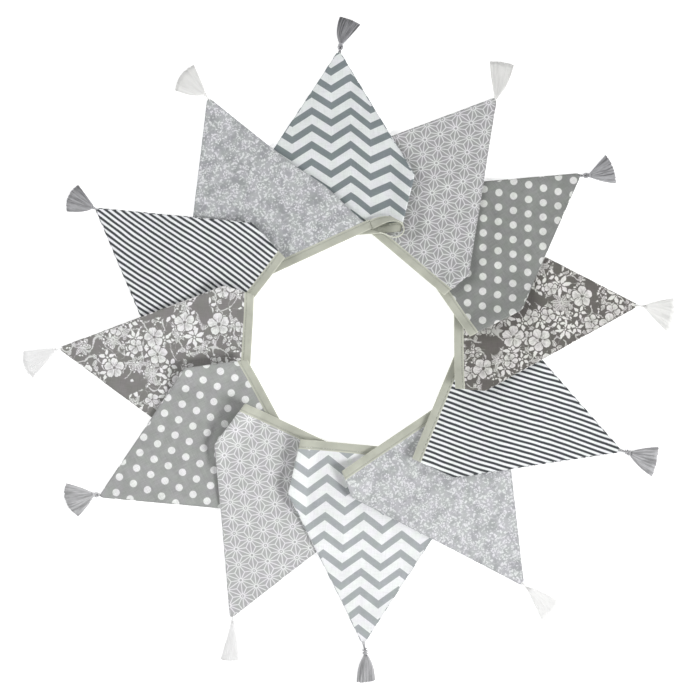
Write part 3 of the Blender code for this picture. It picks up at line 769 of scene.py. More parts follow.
class Flowers:
    """One scattering of flowers or leaves over the cloth, one to a cell, turned by chance."""

    def __init__(self, tree, cloth, spacing, scatter, shift):
        moved = add_node(tree, "VectorMath ADD", cloth, shift)
        cells = add_node(tree, "TexVoronoi", Vector=moved, Scale=1.0 / spacing, Randomness=scatter,
                         voronoi_dimensions="2D")
        self.tree = tree
        arm = add_node(tree, "VectorMath SUBTRACT", moved, cells.outputs["Position"])
        split = add_node(tree, "SeparateXYZ", arm)
        self.chance = add_node(tree, "SeparateColor", cells.outputs["Color"])
        flat_arm = add_node(tree, "CombineXYZ", split.outputs[0], split.outputs[1])
        radius = add_node(tree, "VectorMath LENGTH", flat_arm)
        grow = add_node(tree, "MapRange", self.chance.outputs[2], 0.0, 1.0, 1.18, 0.95)
        self.radius = add_node(tree, "Math MULTIPLY", radius.outputs["Value"], grow)
        angle = add_node(tree, "Math ARCTAN2", split.outputs[1], split.outputs[0])
        self.angle = add_node(tree, "Math MULTIPLY_ADD", self.chance.outputs[0], 2 * math.pi,
                              angle)

    def kept(self, share, *masks):
        """The masks in the cells that carry a flower, for a share of all the cells."""
        here = add_node(self.tree, "Math LESS_THAN", self.chance.outputs[1], share)
        return times(self.tree, here, *masks)

    def print_over(self, share, ink, cover, below):
        """A share of the flowers over what lies below them, which their cover keeps clear."""
        left = without(self.tree, below, self.kept(share, cover))
        return add_node(self.tree, "Math MAXIMUM", self.kept(share, ink), left)

    def off_petal(self, petals):
        """Angle to the nearest petal's middle."""
        return add_node(self.tree, "Math PINGPONG", self.angle, math.pi / petals)

    def round_petals(self, petals, size, depth):
        """Distance inside the outline of a flower with round petals, in millimetres."""
        tree = self.tree
        wave = add_node(tree, "Math MULTIPLY", self.off_petal(petals), petals / 2)
        crown = add_node(tree, "Math COSINE", wave)
        crown = add_node(tree, "Math POWER", crown, 0.5)
        rim = add_node(tree, "Math MULTIPLY_ADD", crown, size * depth, size * (1.0 - depth))
        return add_node(tree, "Math SUBTRACT", rim, self.radius)

    def notch(self, petals):
        """Distance to the line between two petals, in millimetres."""
        tree = self.tree
        to_line = add_node(tree, "Math SUBTRACT", math.pi / petals, self.off_petal(petals))
        return add_node(tree, "Math MULTIPLY", to_line, self.radius)

    def point_petals(self, petals, start, size, width):
        """Distance inside long pointed petals, and distance to their middle line."""
        tree = self.tree
        sine = add_node(tree, "Math SINE", self.off_petal(petals))
        aside = add_node(tree, "Math MULTIPLY", sine, self.radius)
        at = add_node(tree, "MapRange", self.radius, start, size, 0.0, math.pi)
        swell = add_node(tree, "Math SINE", at)
        inside = add_node(tree, "Math MULTIPLY", swell, width)
        inside = add_node(tree, "Math SUBTRACT", inside, aside)
        return inside, aside

    def streaks(self, count):
        """Fine brushed streaks that run out from the flower's middle, from 0 to 1."""
        tree = self.tree
        round_it = add_node(tree, "Math MULTIPLY", self.angle, count)
        out = add_node(tree, "Math MULTIPLY", self.radius, 0.22)
        spot = add_node(tree, "CombineXYZ", round_it, out, self.chance.outputs[1])
        return patches(tree, spot, 1.0, 2.0, 0.38, 0.62)


def inside_mask(tree, inside, border):
    """1 where a distance inside an outline is past a border, 0 before it."""
    return add_node(tree, "MapRange", inside, border - 0.22, border + 0.22)


def times(tree, *masks):
    """All of the masks at once."""
    whole = masks[0]
    for mask in masks[1:]:
        whole = add_node(tree, "Math MULTIPLY", whole, mask)
    return whole


def without(tree, mask, gone):
    """The part of a mask that another one leaves."""
    left = add_node(tree, "Math SUBTRACT", 1.0, gone, use_clamp=True)
    return add_node(tree, "Math MULTIPLY", mask, left)


def stems(tree, cloth, scale, width):
    """1 on thin curling stems, drawn along the level lines of a smooth noise."""
    field = add_node(tree, "TexNoise", Vector=cloth, Scale=scale, Detail=0.0,
                     noise_dimensions="2D")
    away = add_node(tree, "Math SUBTRACT", field, 0.5)
    away = add_node(tree, "Math ABSOLUTE", away)
    return step_mask(tree, away, width * scale, width * scale * 0.5)


def hand_drawn(tree, cloth, number):
    """The cloth's map moved to another part of the print, and drawn unevenly."""
    moved = add_node(tree, "VectorMath ADD", cloth, (131.0 * number, 67.0 * number, 0.0))
    drawn = moved
    for scale, size in ((0.22, 2.4), (0.7, 1.3)):
        waver = add_node(tree, "TexNoise", Vector=moved, Scale=scale, Detail=1.0)
        drawn = add_node(tree, "VectorMath MULTIPLY_ADD", waver.outputs["Color"],
                         (size, size, 0.0), drawn)
    return drawn


def open_flower(tree, flowers, size, depth, heart):
    """Ink of open flowers with five streaked petals, and their outline."""
    outline = flowers.round_petals(5, size, depth)
    shade = add_node(tree, "MapRange", flowers.radius, heart, size * 0.9, 0.85, 0.12)
    ink = without(tree, inside_mask(tree, outline, 0.0),
                  times(tree, shade, flowers.streaks(8.0)))
    ink = without(tree, ink, step_mask(tree, flowers.notch(5), 0.4, 0.3))
    ink = without(tree, ink, step_mask(tree, flowers.radius, heart, 0.3))
    stamens = times(tree, band_mask(tree, flowers.radius, heart * 0.9, heart * 1.7, 0.25),
                    flowers.streaks(14.0))
    return add_node(tree, "Math MAXIMUM", ink, stamens), outline


def large_floral_print(tree, cloth, number):
    """Share of the light dye: open flowers, daisies, veined leaves, petals and stems."""
    cloth = hand_drawn(tree, cloth, number)
    ink = times(tree, stems(tree, cloth, 0.05, 0.4), 0.7)

    for spacing, petals, size, width, shift in ((13.0, 3, 8.0, 2.1, 9.0),
                                                (24.0, 6, 11.0, 2.5, 31.0)):
        leaves = Flowers(tree, cloth, spacing, 0.85, (0.0, shift, 0.0))
        leaf, rib = leaves.point_petals(petals, 0.6, size, width)
        blade = inside_mask(tree, leaf, 0.0)
        veins = add_node(tree, "Math MULTIPLY_ADD", rib, -0.9, leaves.radius)
        veins = add_node(tree, "Math PINGPONG", veins, 0.9)
        veins = times(tree, step_mask(tree, veins, 0.3, 0.2), 0.7)
        lines = band_mask(tree, leaf, -0.1, 0.5, 0.2)
        for line in (step_mask(tree, rib, 0.3, 0.2), veins, 0.3):
            lines = add_node(tree, "Math MAXIMUM", lines, line)
        ink = leaves.print_over(0.5, times(tree, lines, blade), blade, ink)

    petals = Flowers(tree, cloth, 7.0, 1.0, (5.0, 0.0, 0.0))
    petal, _ = petals.point_petals(2, 0.3, 3.2, 0.95)
    ink = petals.print_over(0.34, inside_mask(tree, petal, 0.0), inside_mask(tree, petal, -0.6),
                            ink)

    for spacing, count, size, width, shift in ((27.0, 7, 11.0, 1.9, 3.0),
                                               (19.0, 5, 8.2, 1.8, 47.0)):
        daisies = Flowers(tree, cloth, spacing, 0.8, (11.0, shift, 0.0))
        petal, _ = daisies.point_petals(count, 1.6, size, width)
        heart = step_mask(tree, daisies.radius, 0.8, 0.2)
        daisy = add_node(tree, "Math MAXIMUM", inside_mask(tree, petal, 0.0), heart)
        ink = daisies.print_over(0.5, daisy, step_mask(tree, daisies.radius, size - 0.8, 0.3), ink)

    small = Flowers(tree, cloth, 21.0, 0.85, (0.0, 14.0, 0.0))
    flower, outline = open_flower(tree, small, 7.4, 0.46, 1.3)
    ink = small.print_over(0.32, flower, inside_mask(tree, outline, -1.0), ink)
    ink = times(tree, ink, patches(tree, cloth, 0.038, 0.0, 0.345, 0.37))

    great = Flowers(tree, cloth, 34.0, 0.8, (7.0, 21.0, 0.0))
    flower, outline = open_flower(tree, great, 11.2, 0.44, 1.9)
    return great.print_over(0.5, flower, inside_mask(tree, outline, -1.4), ink)


def small_floral_print(tree, cloth, number):
    """Share of the light dye: sprigs and clusters of small soft dabs on the ground."""
    cloth = hand_drawn(tree, cloth, number)
    field = add_node(tree, "TexNoise", Vector=cloth, Scale=0.08, Detail=2.0)
    sprays = add_node(tree, "MapRange", field, 0.38, 0.48)
    layers = [times(tree, stems(tree, cloth, 0.12, 0.16), 0.4)]
    for spacing, size, width, share, tone, shift in (
            (2.5, 1.2, 0.7, 0.32, 0.7, 3.0), (3.4, 1.6, 0.85, 0.36, 0.95, 17.0),
            (4.8, 2.1, 1.0, 0.6, 1.0, 29.0)):
        dabs = Flowers(tree, cloth, spacing, 1.0, (shift, 2 * shift, 0.0))
        dab, _ = dabs.point_petals(2, 0.0, size, width)
        dab = add_node(tree, "MapRange", dab, -0.3, 0.3, 0.0, tone)
        layers.append(dabs.kept(share, dab, sprays))
    for spacing, size, shift in ((5.5, 0.75, 8.0), (3.9, 0.65, 23.0)):
        buds = Flowers(tree, cloth, spacing, 1.0, (1.0, shift, 0.0))
        layers.append(buds.kept(0.5, step_mask(tree, buds.radius, size, 0.4)))
    whorls = Flowers(tree, cloth, 9.5, 0.9, (0.0, 5.0, 0.0))
    leaf, _ = whorls.point_petals(7, 1.2, 4.2, 0.5)
    layers.append(whorls.kept(0.35, add_node(tree, "MapRange", leaf, -0.3, 0.35, 0.0, 0.9)))
    ink = add_node(tree, "MapRange", field, 0.36, 0.58, 0.0, 0.28)
    for layer in layers:
        ink = add_node(tree, "Math MAXIMUM", ink, layer)
    heads = Flowers(tree, cloth, 12.0, 0.9, (8.0, 0.0, 0.0))
    disc = heads.round_petals(5, 2.9, 0.45)
    parted = inside_mask(tree, heads.notch(5), 0.25)
    head = without(tree, times(tree, inside_mask(tree, disc, 0.0), parted, 0.92),
                   step_mask(tree, heads.radius, 0.6, 0.25))
    return heads.print_over(0.4, head, inside_mask(tree, disc, -0.4), ink)


PRINTERS = {
    "chevron": chevron_print,
    "hemp_leaf": leaf_print,
    "dots": dot_print,
    "large_floral": large_floral_print,
    "stripes": stripe_print,
    "small_floral": small_floral_print,
}


def print_colours(number):
    """Ground or dark colour and light colour of a pennant's print."""
    kind = PENNANT_ROWS[number - 1].print
    settings = bpy.context.scene.bunting_cloth
    # Paler copies of a print's dyes on some pennants are painted light
    return [paler(getattr(settings, f"{kind}_{tone}"), share)
            for tone, share in zip(("dark", "light"), PAINTED_LIGHTER.get(number, (0.0, 0.0)))]


def printed_cotton(number):
    """Plain-weave quilting cotton, printed: dull, with threads, slubs and a soft nap."""
    kind = PENNANT_ROWS[number - 1].print
    material, tree, shader = new_material(f"printed_cotton_{kind}_{number:02d}", 0.92, 0.12, 0.15)
    cloth = add_node(tree, "UVMap", uv_map="cloth")
    ink = PRINTERS[kind](tree, cloth, number)
    dark, light = print_colours(number)
    colour = add_node(tree, "Mix", ink, slots={MIX_A: opaque(dark), MIX_B: opaque(light)},
                      data_type="RGBA")
    slub = []
    for scale in ((1.6, 0.09, 1.0), (0.09, 1.6, 1.0)):
        way = add_node(tree, "Mapping", Vector=cloth, Scale=scale)
        slub.append(add_node(tree, "TexNoise", Vector=way, Scale=1.0, Detail=2.0))
    slubs = add_node(tree, "Math ADD", *slub)
    blotch = add_node(tree, "TexNoise", Vector=cloth, Scale=0.05, Detail=4.0, Roughness=0.65)
    tone = add_node(tree, "Math ADD", slubs, blotch)
    mottle = MOTTLED.get(kind, 0.06)
    tone = add_node(tree, "MapRange", tone, 1.1, 1.9, 0.99 - mottle, 0.99 + mottle)
    # Four layers of cloth lie in a sewn edge; painted shade darkens its rounded side
    seam = add_node(tree, "Attribute", attribute_name="seam").outputs["Fac"]
    deep = add_node(tree, "Math MULTIPLY_ADD", seam, -SEAM_SHADE, 1.0)
    # Parts of the cloth are a little greener or more purple than the dyes
    tint = add_node(tree, "Mix", patches(tree, cloth, 0.09, 1.0, 0.35, 0.65),
                    slots={MIX_A: (0.975, 1.0, 0.98, 1.0), MIX_B: (1.0, 0.985, 1.02, 1.0)},
                    data_type="RGBA")
    tinted = add_node(tree, "VectorMath MULTIPLY", colour, tint)
    dye(tree, shader, tinted, times(tree, tone, deep))
    weave = plain_weave(tree, cloth, bpy.context.scene.bunting_cloth.thread / MM)
    rough = add_node(tree, "Math MULTIPLY_ADD", weave, 0.25, slubs)
    soft = add_node(tree, "TexNoise", Vector=cloth, Scale=0.06, Detail=3.0)
    emboss(tree, shader, (rough, 0.5, 0.12), (soft, 0.6, 1.3))
    return material


def bias_cotton():
    """Cotton bias binding, pressed in folds: dull sage green, threads at 45 degrees."""
    material, tree, shader = new_material("cotton_bias_tape", 0.9, 0.12, 0.15)
    cloth = add_node(tree, "UVMap", uv_map="cloth")
    blotch = patches(tree, cloth, 0.06, 4.0, 0.35, 0.65, 0.91, 1.06)
    across = add_node(tree, "SeparateXYZ", cloth).outputs[1]
    # The groove pressed in by the seam lies in its own shade
    seam = STITCH_SPOT * TAPE_WIDTH / MM
    groove = band_mask(tree, across, seam - 0.35, seam + 0.35, 0.3)
    groove = add_node(tree, "MapRange", groove, 0.0, 1.0, 1.0, 0.74)
    # Both edges are pressed flat and thin; a painted highlight makes them lighter
    middle = band_mask(tree, across, 0.5, TAPE_WIDTH / MM - 0.6, 0.4)
    edges = add_node(tree, "MapRange", middle, 0.0, 1.0, 1.24, 1.0)
    dye(tree, shader, bpy.context.scene.bunting_tape.cloth[:], times(tree, blotch, groove, edges))
    bias = add_node(tree, "Mapping", Vector=cloth, Rotation=(0.0, 0.0, math.pi / 4))
    pucker = add_node(tree, "TexNoise", Vector=cloth, Scale=0.3, Detail=2.0)
    emboss(tree, shader, (plain_weave(tree, bias, 0.5), 0.4, 0.06), (pucker, 0.5, 0.4))
    return material


def sewing_thread():
    """Polyester sewing thread: slightly glossy, twisted."""
    material, tree, shader = new_material("polyester_thread", 0.6, 0.1, 0.3)
    place = add_node(tree, "TexCoord").outputs["Object"]
    fibre = patches(tree, place, 1500.0, 1.0, 0.3, 0.7, 0.9, 1.06)
    dye(tree, shader, bpy.context.scene.bunting_tape.thread[:], fibre)
    return material


def tassel_yarn(number, row):
    """Cotton embroidery yarn: soft fibres that run along each strand, in streaks of tone."""
    material, tree, shader = new_material(f"cotton_yarn_{row.yarn}_{number:02d}", 0.8, 0.2, 0.2)
    # Share of white: partly the yarn's own shade, partly painted light
    colour = paler(getattr(bpy.context.scene.bunting_tassels, row.yarn), row.pale)
    deep = YARN_STREAKS_AND_SHADE[row.yarn] * (1.0 - 0.8 * row.pale)
    strand = add_node(tree, "UVMap", uv_map="strand")
    fibres = add_node(tree, "Mapping", Vector=strand, Scale=(0.25, 40.0, 1.0))
    fibres = patches(tree, fibres, 1.0, 2.0, 0.3, 0.7, 1.0 - deep, 1.0)
    # Broad streaks: partly the yarn's own tone, partly painted shade between bundles of strands
    streaks = add_node(tree, "Mapping", Vector=strand, Scale=(0.035, 0.8, 1.0),
                       Location=(3.7 * number, 0.0, 0.0))
    streaks = patches(tree, streaks, 1.0, 2.0, 0.38, 0.58, 1.0 - 2.2 * deep, 1.0)
    dye(tree, shader, colour, times(tree, fibres, streaks))
    twist = add_node(tree, "Mapping", Vector=strand, Scale=(1.2, 9.0, 1.0))
    ply = add_node(tree, "TexNoise", Vector=twist, Scale=1.0, Detail=1.0)
    emboss(tree, shader, (ply, 0.5, 0.15))
    return material


# ---- pennants ----
def row_heights(pennant):
    """Every v that gets a row of points, from inside the tape to the point."""
    top = TAPE_WIDTH - CLOTH_IN_TAPE
    tip = pennant.height - TIP_SHORT
    heights = [top + step for step in RIM_STEPS] + [tip - step for step in RIM_STEPS]
    count = math.ceil((tip - top) / ROW_STEP)
    heights += evenly(top + RIM_STEPS[-1], tip - RIM_STEPS[-1], count)[1:-1]
    if pennant.folded:
        for turn in (FOLD_START, FOLD_END):
            low, high = 0.0, pennant.height
            for _ in range(30):
                middle = (low + high) / 2
                if pennant.u_past_fold(turn, middle) < pennant.edge_after(middle):
                    low = middle
                else:
                    high = middle
            heights.append(low)
    return sorted(heights)


def row_points(pennant, v):
    """The points u of one row, from the sewn edge before to the sewn edge after."""
    squeeze = 1.0
    round_from = pennant.height - TIP_ROUND
    tip = pennant.height - TIP_SHORT
    if v > round_from:
        squeeze = math.sqrt(max(1.0 - ((v - round_from) / (tip - round_from)) ** 2, 0.0))
    low = pennant.edge_before(v) * squeeze
    high = pennant.edge_after(v) * squeeze
    if pennant.number in EDGE_BULGES:
        start, stop, bulge = EDGE_BULGES[pennant.number]
        at = (v / MM - start) / (stop - start)
        if 0.0 < at < 1.0:
            high += bulge * MM * math.sin(math.pi * at) ** 2
    rim = [min(step, (high - low) / 3 * step / RIM_STEPS[-1]) for step in RIM_STEPS]
    inner_low, inner_high = low + rim[-1], high - rim[-1]
    turns = [inner_high]
    if pennant.folded:
        turns = [min(pennant.u_past_fold(turn, v), inner_high)
                 for turn in evenly(FOLD_START, FOLD_END, FOLD_COLUMNS)]
    points = [low + step for step in rim[:-1]]
    points += evenly(inner_low, turns[0], SIDE_COLUMNS)[:-1] + turns
    if pennant.folded:
        points += evenly(turns[-1], inner_high, TUCK_COLUMNS)[1:]
    points += [high - step for step in reversed(rim[:-1])]
    return points


def pull(number, flat):
    """How far the print is drawn aside at a point, in millimetres: cloth never lies true."""
    spot = flat / MM
    u, v = spot
    waves = Vector((*spot / PULL_LENGTH, number * 1.7))
    shift = Vector((noise.noise(waves), noise.noise(waves + Vector((9.0, 5.0, 3.0))))) * PULL
    if number == SHEARED:
        shift.y += SHEAR * max(u - SHEAR_FROM, 0.0)
    if PENNANT_ROWS[number - 1].print == "stripes":
        bend = 2 * math.pi * (v - STRIPE_BEND_FROM) / STRIPE_BEND_LENGTH
        shift.x += STRIPE_BEND * math.sin(bend)
        shift.x += STRIPE_WAVER * noise.noise(Vector((*spot / STRIPE_WAVER_LENGTH, number)))
    return shift


def sheet_point(pennant, flat):
    """Middle of the cloth at a point, and its direction out of the front."""
    inside = 1.0 - smooth_step((flat.y - TAPE_WIDTH + TAPE_BITE) / SWELL_LENGTH)
    lift = CLOTH_THICK / 2 + (TAPE_THICK - CLOTH_THICK) / 2 * inside
    middle = pennant.lay(flat, lift)
    across = Vector((PROBE, 0.0))
    along = Vector((0.0, PROBE))
    across = pennant.lay(flat + across, lift) - pennant.lay(flat - across, lift)
    along = pennant.lay(flat + along, lift) - pennant.lay(flat - along, lift)
    return middle, across.cross(along).normalized(), inside


def make_pennant(pennant):
    """One pennant as a closed shell: two panels sewn round a rounded edge, laid in the stack."""
    number = pennant.number
    heights = row_heights(pennant)
    cloth = bmesh.new()
    maps = cloth.loops.layers.uv.new("cloth")
    seam_shades = cloth.verts.layers.float.new("seam")
    front, back, flats = [], [], []
    for v in heights:
        points = row_points(pennant, v)
        flats.append([Vector((u, v)) for u in points])
        front.append([])
        back.append([])
        for u, flat in zip(points, flats[-1]):
            middle, normal, inside = sheet_point(pennant, flat)
            rim = min(u - points[0], points[-1] - u, v - heights[0], heights[-1] - v)
            swell = math.sqrt(max(1.0 - (1.0 - min(rim / RIM_ROUND, 1.0)) ** 2, 0.0))
            half = CLOTH_THICK / 2 * (1.0 - inside) + HALF_IN_TAPE * inside
            for grid, way in ((front, normal), (back, -normal)):
                vert = cloth.verts.new(middle + way * (half * swell))
                # Painted shade of the sewn edge: full at the edge, fading inward
                vert[seam_shades] = 1.0 - smooth_step(rim / SEAM_SHADE_WIDTH)
                grid[-1].append(vert)
    for low, left in itertools.product(range(len(heights) - 1), range(len(flats[0]) - 1)):
        corners = ((low, left), (low, left + 1), (low + 1, left + 1), (low + 1, left))
        centre = sum((flats[i][j] for i, j in corners), Vector((0.0, 0.0))) / 4
        first, last = ((flats[low][end].x + flats[low + 1][end].x) / 2 for end in (0, -1))
        rolled = min(centre.x - first, last - centre.x) < SEAM_ROLL
        for grid, spots in ((front, corners), (back, corners[::-1])):
            face = cloth.faces.new([grid[i][j] for i, j in spots])
            for loop, (i, j) in zip(face.loops, spots):
                spot = flats[i][j] / MM + pull(number, flats[i][j])
                if rolled or grid is back:
                    spot = Vector((BACK_SHIFT - spot.x, spot.y + BACK_SHIFT))
                loop[maps].uv = spot
    bmesh.ops.remove_doubles(cloth, verts=cloth.verts[:], dist=1e-6)
    bmesh.ops.dissolve_degenerate(cloth, edges=cloth.edges[:], dist=1e-7)
    piece = finish_piece(cloth, f"cotton_{pennant.name}", printed_cotton(number),
                         [pennant.name])
    return piece


# ---- bias tape ----
def spaced(start, stop, step):
    """Evenly spaced values from start to stop, about a step apart."""
    return evenly(start, stop, max(math.ceil(abs(stop - start) / step), 1))


def tape_over(pennant):
    """Crosswise pairs of points of the tape along one pennant, from its hidden corner on."""
    start = -pennant.before - TAPE_OVERRUN + FOLD_RADIUS
    stop = pennant.fold_foot.x - TAPE_WIDTH if pennant.folded else pennant.fold_foot.x
    ends = [(u, u) for u in spaced(start, stop, TAPE_STEP)]
    if pennant.folded:
        turns = evenly(FOLD_START, FOLD_END, TURN_STEPS)
        end = pennant.tuck * pennant.fold_normal.x - TAPE_WIDTH * abs(pennant.fold_normal.y)
        turns += spaced(turns[-1], end, TAPE_STEP)[1:]
        skewed = [[pennant.u_past_fold(turn, v) for v in TAPE_EDGES] for turn in turns]
        ends += [[stop + (u - stop) * at for u in skewed[0]] for at in (0.25, 0.5, 0.75)]
        ends += skewed
    return [[pennant.lay(Vector(flat), TAPE_THICK / 2) for flat in zip(pair, TAPE_EDGES)]
            for pair in ends]


def tape_under(pennant, place, rise):
    """A point in the middle of the hidden tape, raised by a share of the pitch."""
    height, pitch = pennant.rest(place)
    return Vector((*place, height + TAPE_THICK / 2 + rise * pitch))


def tape_back(pennant, coming, pair):
    """Pairs of points of the tape hidden under a pennant, back to the next one's corner."""
    leave = ((pair[0] + pair[1]) / 2).xy
    fold_way = pennant.along * pennant.fold_way.x + pennant.out * pennant.fold_way.y
    heading = fold_way * (2 * pennant.along.dot(fold_way)) - pennant.along
    turn_in = coming.plan(Vector((-coming.before - TAPE_OVERRUN + FOLD_RADIUS, TAPE_WIDTH / 2)))
    reach = (turn_in - leave).length * BACK_PULL
    handles = (leave, leave + heading * reach, turn_in + coming.along * reach, turn_in)
    pairs = []
    for at in evenly(0.0, 1.0, BACK_STEPS)[1:]:
        centre = bezier(handles, at)
        way = bezier(handles, at + TANGENT_STEP) - bezier(handles, at - TANGENT_STEP)
        way.normalize()
        side = Vector((way.y, -way.x)) * (TAPE_WIDTH / 2)
        pairs.append([tape_under(pennant, place, -0.5)
                      for place in (centre - side, centre + side)])
    return pairs


def tape_turn(pennant):
    """Pairs of points round the half turn at a pennant's hidden corner, top to bottom."""
    pairs = []
    turn_at = -pennant.before - TAPE_OVERRUN + FOLD_RADIUS
    for angle in evenly(0.0, math.pi, TURN_STEPS)[1:-1]:
        u = turn_at - FOLD_RADIUS * math.sin(angle)
        rise = (1.0 + math.cos(angle)) / 4
        pairs.append([tape_under(pennant, pennant.plan(Vector((u, v))), rise)
                      for v in TAPE_EDGES])
    return pairs


def tape_pairs():
    """The whole tape, zigzagging from pennant to pennant."""
    first, *others = laid_pennants()
    pairs = tape_over(first)
    last = first
    for pennant in others:
        pairs += tape_back(last, pennant, pairs[-1]) + tape_turn(pennant) + tape_over(pennant)
        last = pennant
    return pairs


def beside(items, index):
    """The items before and after one, or the last there is."""
    return items[max(index - 1, 0)], items[min(index + 1, len(items) - 1)]


def loop_pairs():
    """The hanging loop: it rises from flat on to its edge, turns and runs back."""
    places = [Vector((row.x, row.y)) * MM for row in LOOP_ROWS]
    coarse = []
    for index, row in enumerate(LOOP_ROWS):
        behind, ahead = beside(places, index)
        way = (ahead - behind).normalized()
        lean = math.radians(row.lean)
        across = Vector((-way.y * math.cos(lean), way.x * math.cos(lean), -math.sin(lean)))
        across *= TAPE_WIDTH / 2
        floor = underside(LOOP_STANDS_ON, places[index])[0]
        centre = Vector((*places[index], floor + row.lift * MM))
        coarse.append([centre - across, centre + across])
    return smooth_pairs(coarse, 4)


def smooth_pairs(pairs, steps):
    """More pairs between the given ones, on smooth curves through them."""
    fine = []
    for index in range(len(pairs) - 1):
        ends = [pairs[max(index - 1, 0)], pairs[index], pairs[index + 1],
                pairs[min(index + 2, len(pairs) - 1)]]
        for at in evenly(0.0, 1.0, steps)[:-1]:
            row = []
            for side in (0, 1):
                before, start, end, after = (pair[side] for pair in ends)
                row.append(0.5 * (2 * start + (end - before) * at
                                  + (2 * before - 5 * start + 4 * end - after) * at ** 2
                                  + (3 * start - before - 3 * end + after) * at ** 3))
            fine.append(row)
    fine.append(pairs[-1])
    return fine


class Strip:
    """A strip of tape through crosswise pairs, with the direction out of its face at each."""

    def __init__(self, pairs):
        self.pairs = pairs
        self.normals = []
        self.lengths = []
        middles = [(pair[0] + pair[1]) / 2 for pair in pairs]
        length = 0.0
        for index, pair in enumerate(pairs):
            behind, ahead = beside(middles, index)
            self.normals.append((ahead - behind).cross(pair[1] - pair[0]).normalized())
            length += (middles[index] - behind).length
            self.lengths.append(length)

    def point(self, index, across, lift):
        """Point at a share of the width and a height off the middle."""
        first, last = self.pairs[index]
        return first + (last - first) * across + self.normals[index] * lift

    def at(self, length, across, lift):
        """The same at a length along the strip."""
        high = min(max(bisect.bisect_right(self.lengths, length), 1), len(self.lengths) - 1)
        low = high - 1
        share = (length - self.lengths[low]) / (self.lengths[high] - self.lengths[low])
        share = min(max(share, 0.0), 1.0)
        return self.point(low, across, lift).lerp(self.point(high, across, lift), share)


def skin(mesh, maps, rings, joined=False):
    """Faces over rings of points with their maps, capped at the ends or joined to a ring."""
    corners = len(rings[0])
    verts = [[mesh.verts.new(point) for point, _ in ring] for ring in rings]
    faces = [] if joined else [[(end, corner) for corner in range(corners)]
                               for end in (0, len(rings) - 1)]
    for index in range(len(rings) if joined else len(rings) - 1):
        ahead = (index + 1) % len(rings)
        for corner in range(corners):
            after = (corner + 1) % corners
            faces.append(((index, corner), (index, after), (ahead, after), (ahead, corner)))
    for spots in faces:
        face = mesh.faces.new([verts[i][j] for i, j in spots])
        if maps:
            for loop, (i, j) in zip(face.loops, spots):
                loop[maps].uv = rings[i][j][1]


def folded_tape(strip, name, nodes, material):
    """The strip as folded tape, a closed section swept along it."""
    tape = bmesh.new()
    maps = tape.loops.layers.uv.new("cloth")
    section = list(TAPE_OUTER + TAPE_INNER)
    section += [(across, -tall) for across, tall in reversed((TAPE_OUTER + TAPE_INNER[:-1])[1:])]
    rings = []
    for index, length in enumerate(strip.lengths):
        wave = noise.noise(Vector((length / TAPE_SWELL_LENGTH, 0.0, 4.0)))
        half = TAPE_THICK / 2 * (1.0 + TAPE_SWELL * wave)
        rings.append([(strip.point(index, across, tall * half),
                       (length / MM, across * TAPE_WIDTH / MM)) for across, tall in section])
    skin(tape, maps, rings)
    for cap in [face for face in tape.faces if len(face.verts) == len(section)]:
        for loop in cap.loops:
            loop[maps].uv = (0.0, 0.0)
    bmesh.ops.recalc_face_normals(tape, faces=tape.faces[:])
    return finish_piece(tape, name, material, nodes)


def sewn_line(strip, name):
    """Straight stitches along the tape's open edge, on both of its faces."""
    thread = bmesh.new()
    pitch = bpy.context.scene.bunting_tape.stitch
    groove = dict(TAPE_OUTER)[STITCH_SPOT] * TAPE_THICK / 2
    starts = [pitch * number for number in range(1, int(strip.lengths[-1] / pitch - 1))]
    angles = evenly(0.0, 2 * math.pi, STITCH_SIDES)[:-1]
    for side, start in itertools.product((1.0, -1.0), starts):
        rings = []
        for at in evenly(0.0, 1.0, STITCH_SEGMENTS):
            arch = math.sin(math.pi * at)
            half = STITCH_HALF * (STITCH_END + (1.0 - STITCH_END) * math.sqrt(arch))
            middle = groove - STITCH_SUNK + STITCH_ARCH * arch
            rings.append([(strip.at(start + STITCH_LENGTH * at,
                                    STITCH_SPOT + half * math.cos(angle) / TAPE_WIDTH,
                                    side * (middle + half * math.sin(angle))), None)
                          for angle in angles])
        skin(thread, None, rings)
    bmesh.ops.recalc_face_normals(thread, faces=thread.faces[:])
    return finish_piece(thread, name, sewing_thread(), [])


# ---- tassels ----
def yarn_ring(centre, first, second, half, sides, spot):
    """Points round a yarn, in the plane of two arms, all at one spot of its map."""
    return [(centre + (first * math.cos(turn) + second * math.sin(turn)) * half, spot)
            for turn in evenly(0.0, 2 * math.pi, sides)[:-1]]


def tube(mesh, maps, path, halves, sides, row):
    """A closed tube through points; its map runs along it."""
    rings = []
    length = 0.0
    for index, centre in enumerate(path):
        behind, ahead = beside(path, index)
        way = (ahead - behind).normalized()
        side = way.cross(UP).normalized()
        length += (centre - behind).length / MM
        rings.append(yarn_ring(centre, side, side.cross(way), halves[index], sides, (length, row)))
    skin(mesh, maps, rings)


def wrap_round(mesh, maps, middle, across, up, half, row):
    """A closed ring of yarn round a middle, in the plane of two arms as long as its radius."""
    axis = across.cross(up).normalized()
    rings = []
    for step, angle in enumerate(evenly(0.0, 2 * math.pi, WRAP_POINTS)[:-1]):
        arm = across * math.cos(angle) + up * math.sin(angle)
        rings.append(yarn_ring(middle + arm, arm.normalized(), axis, half, WRAP_SIDES,
                               (step, row)))
    skin(mesh, maps, rings, joined=True)


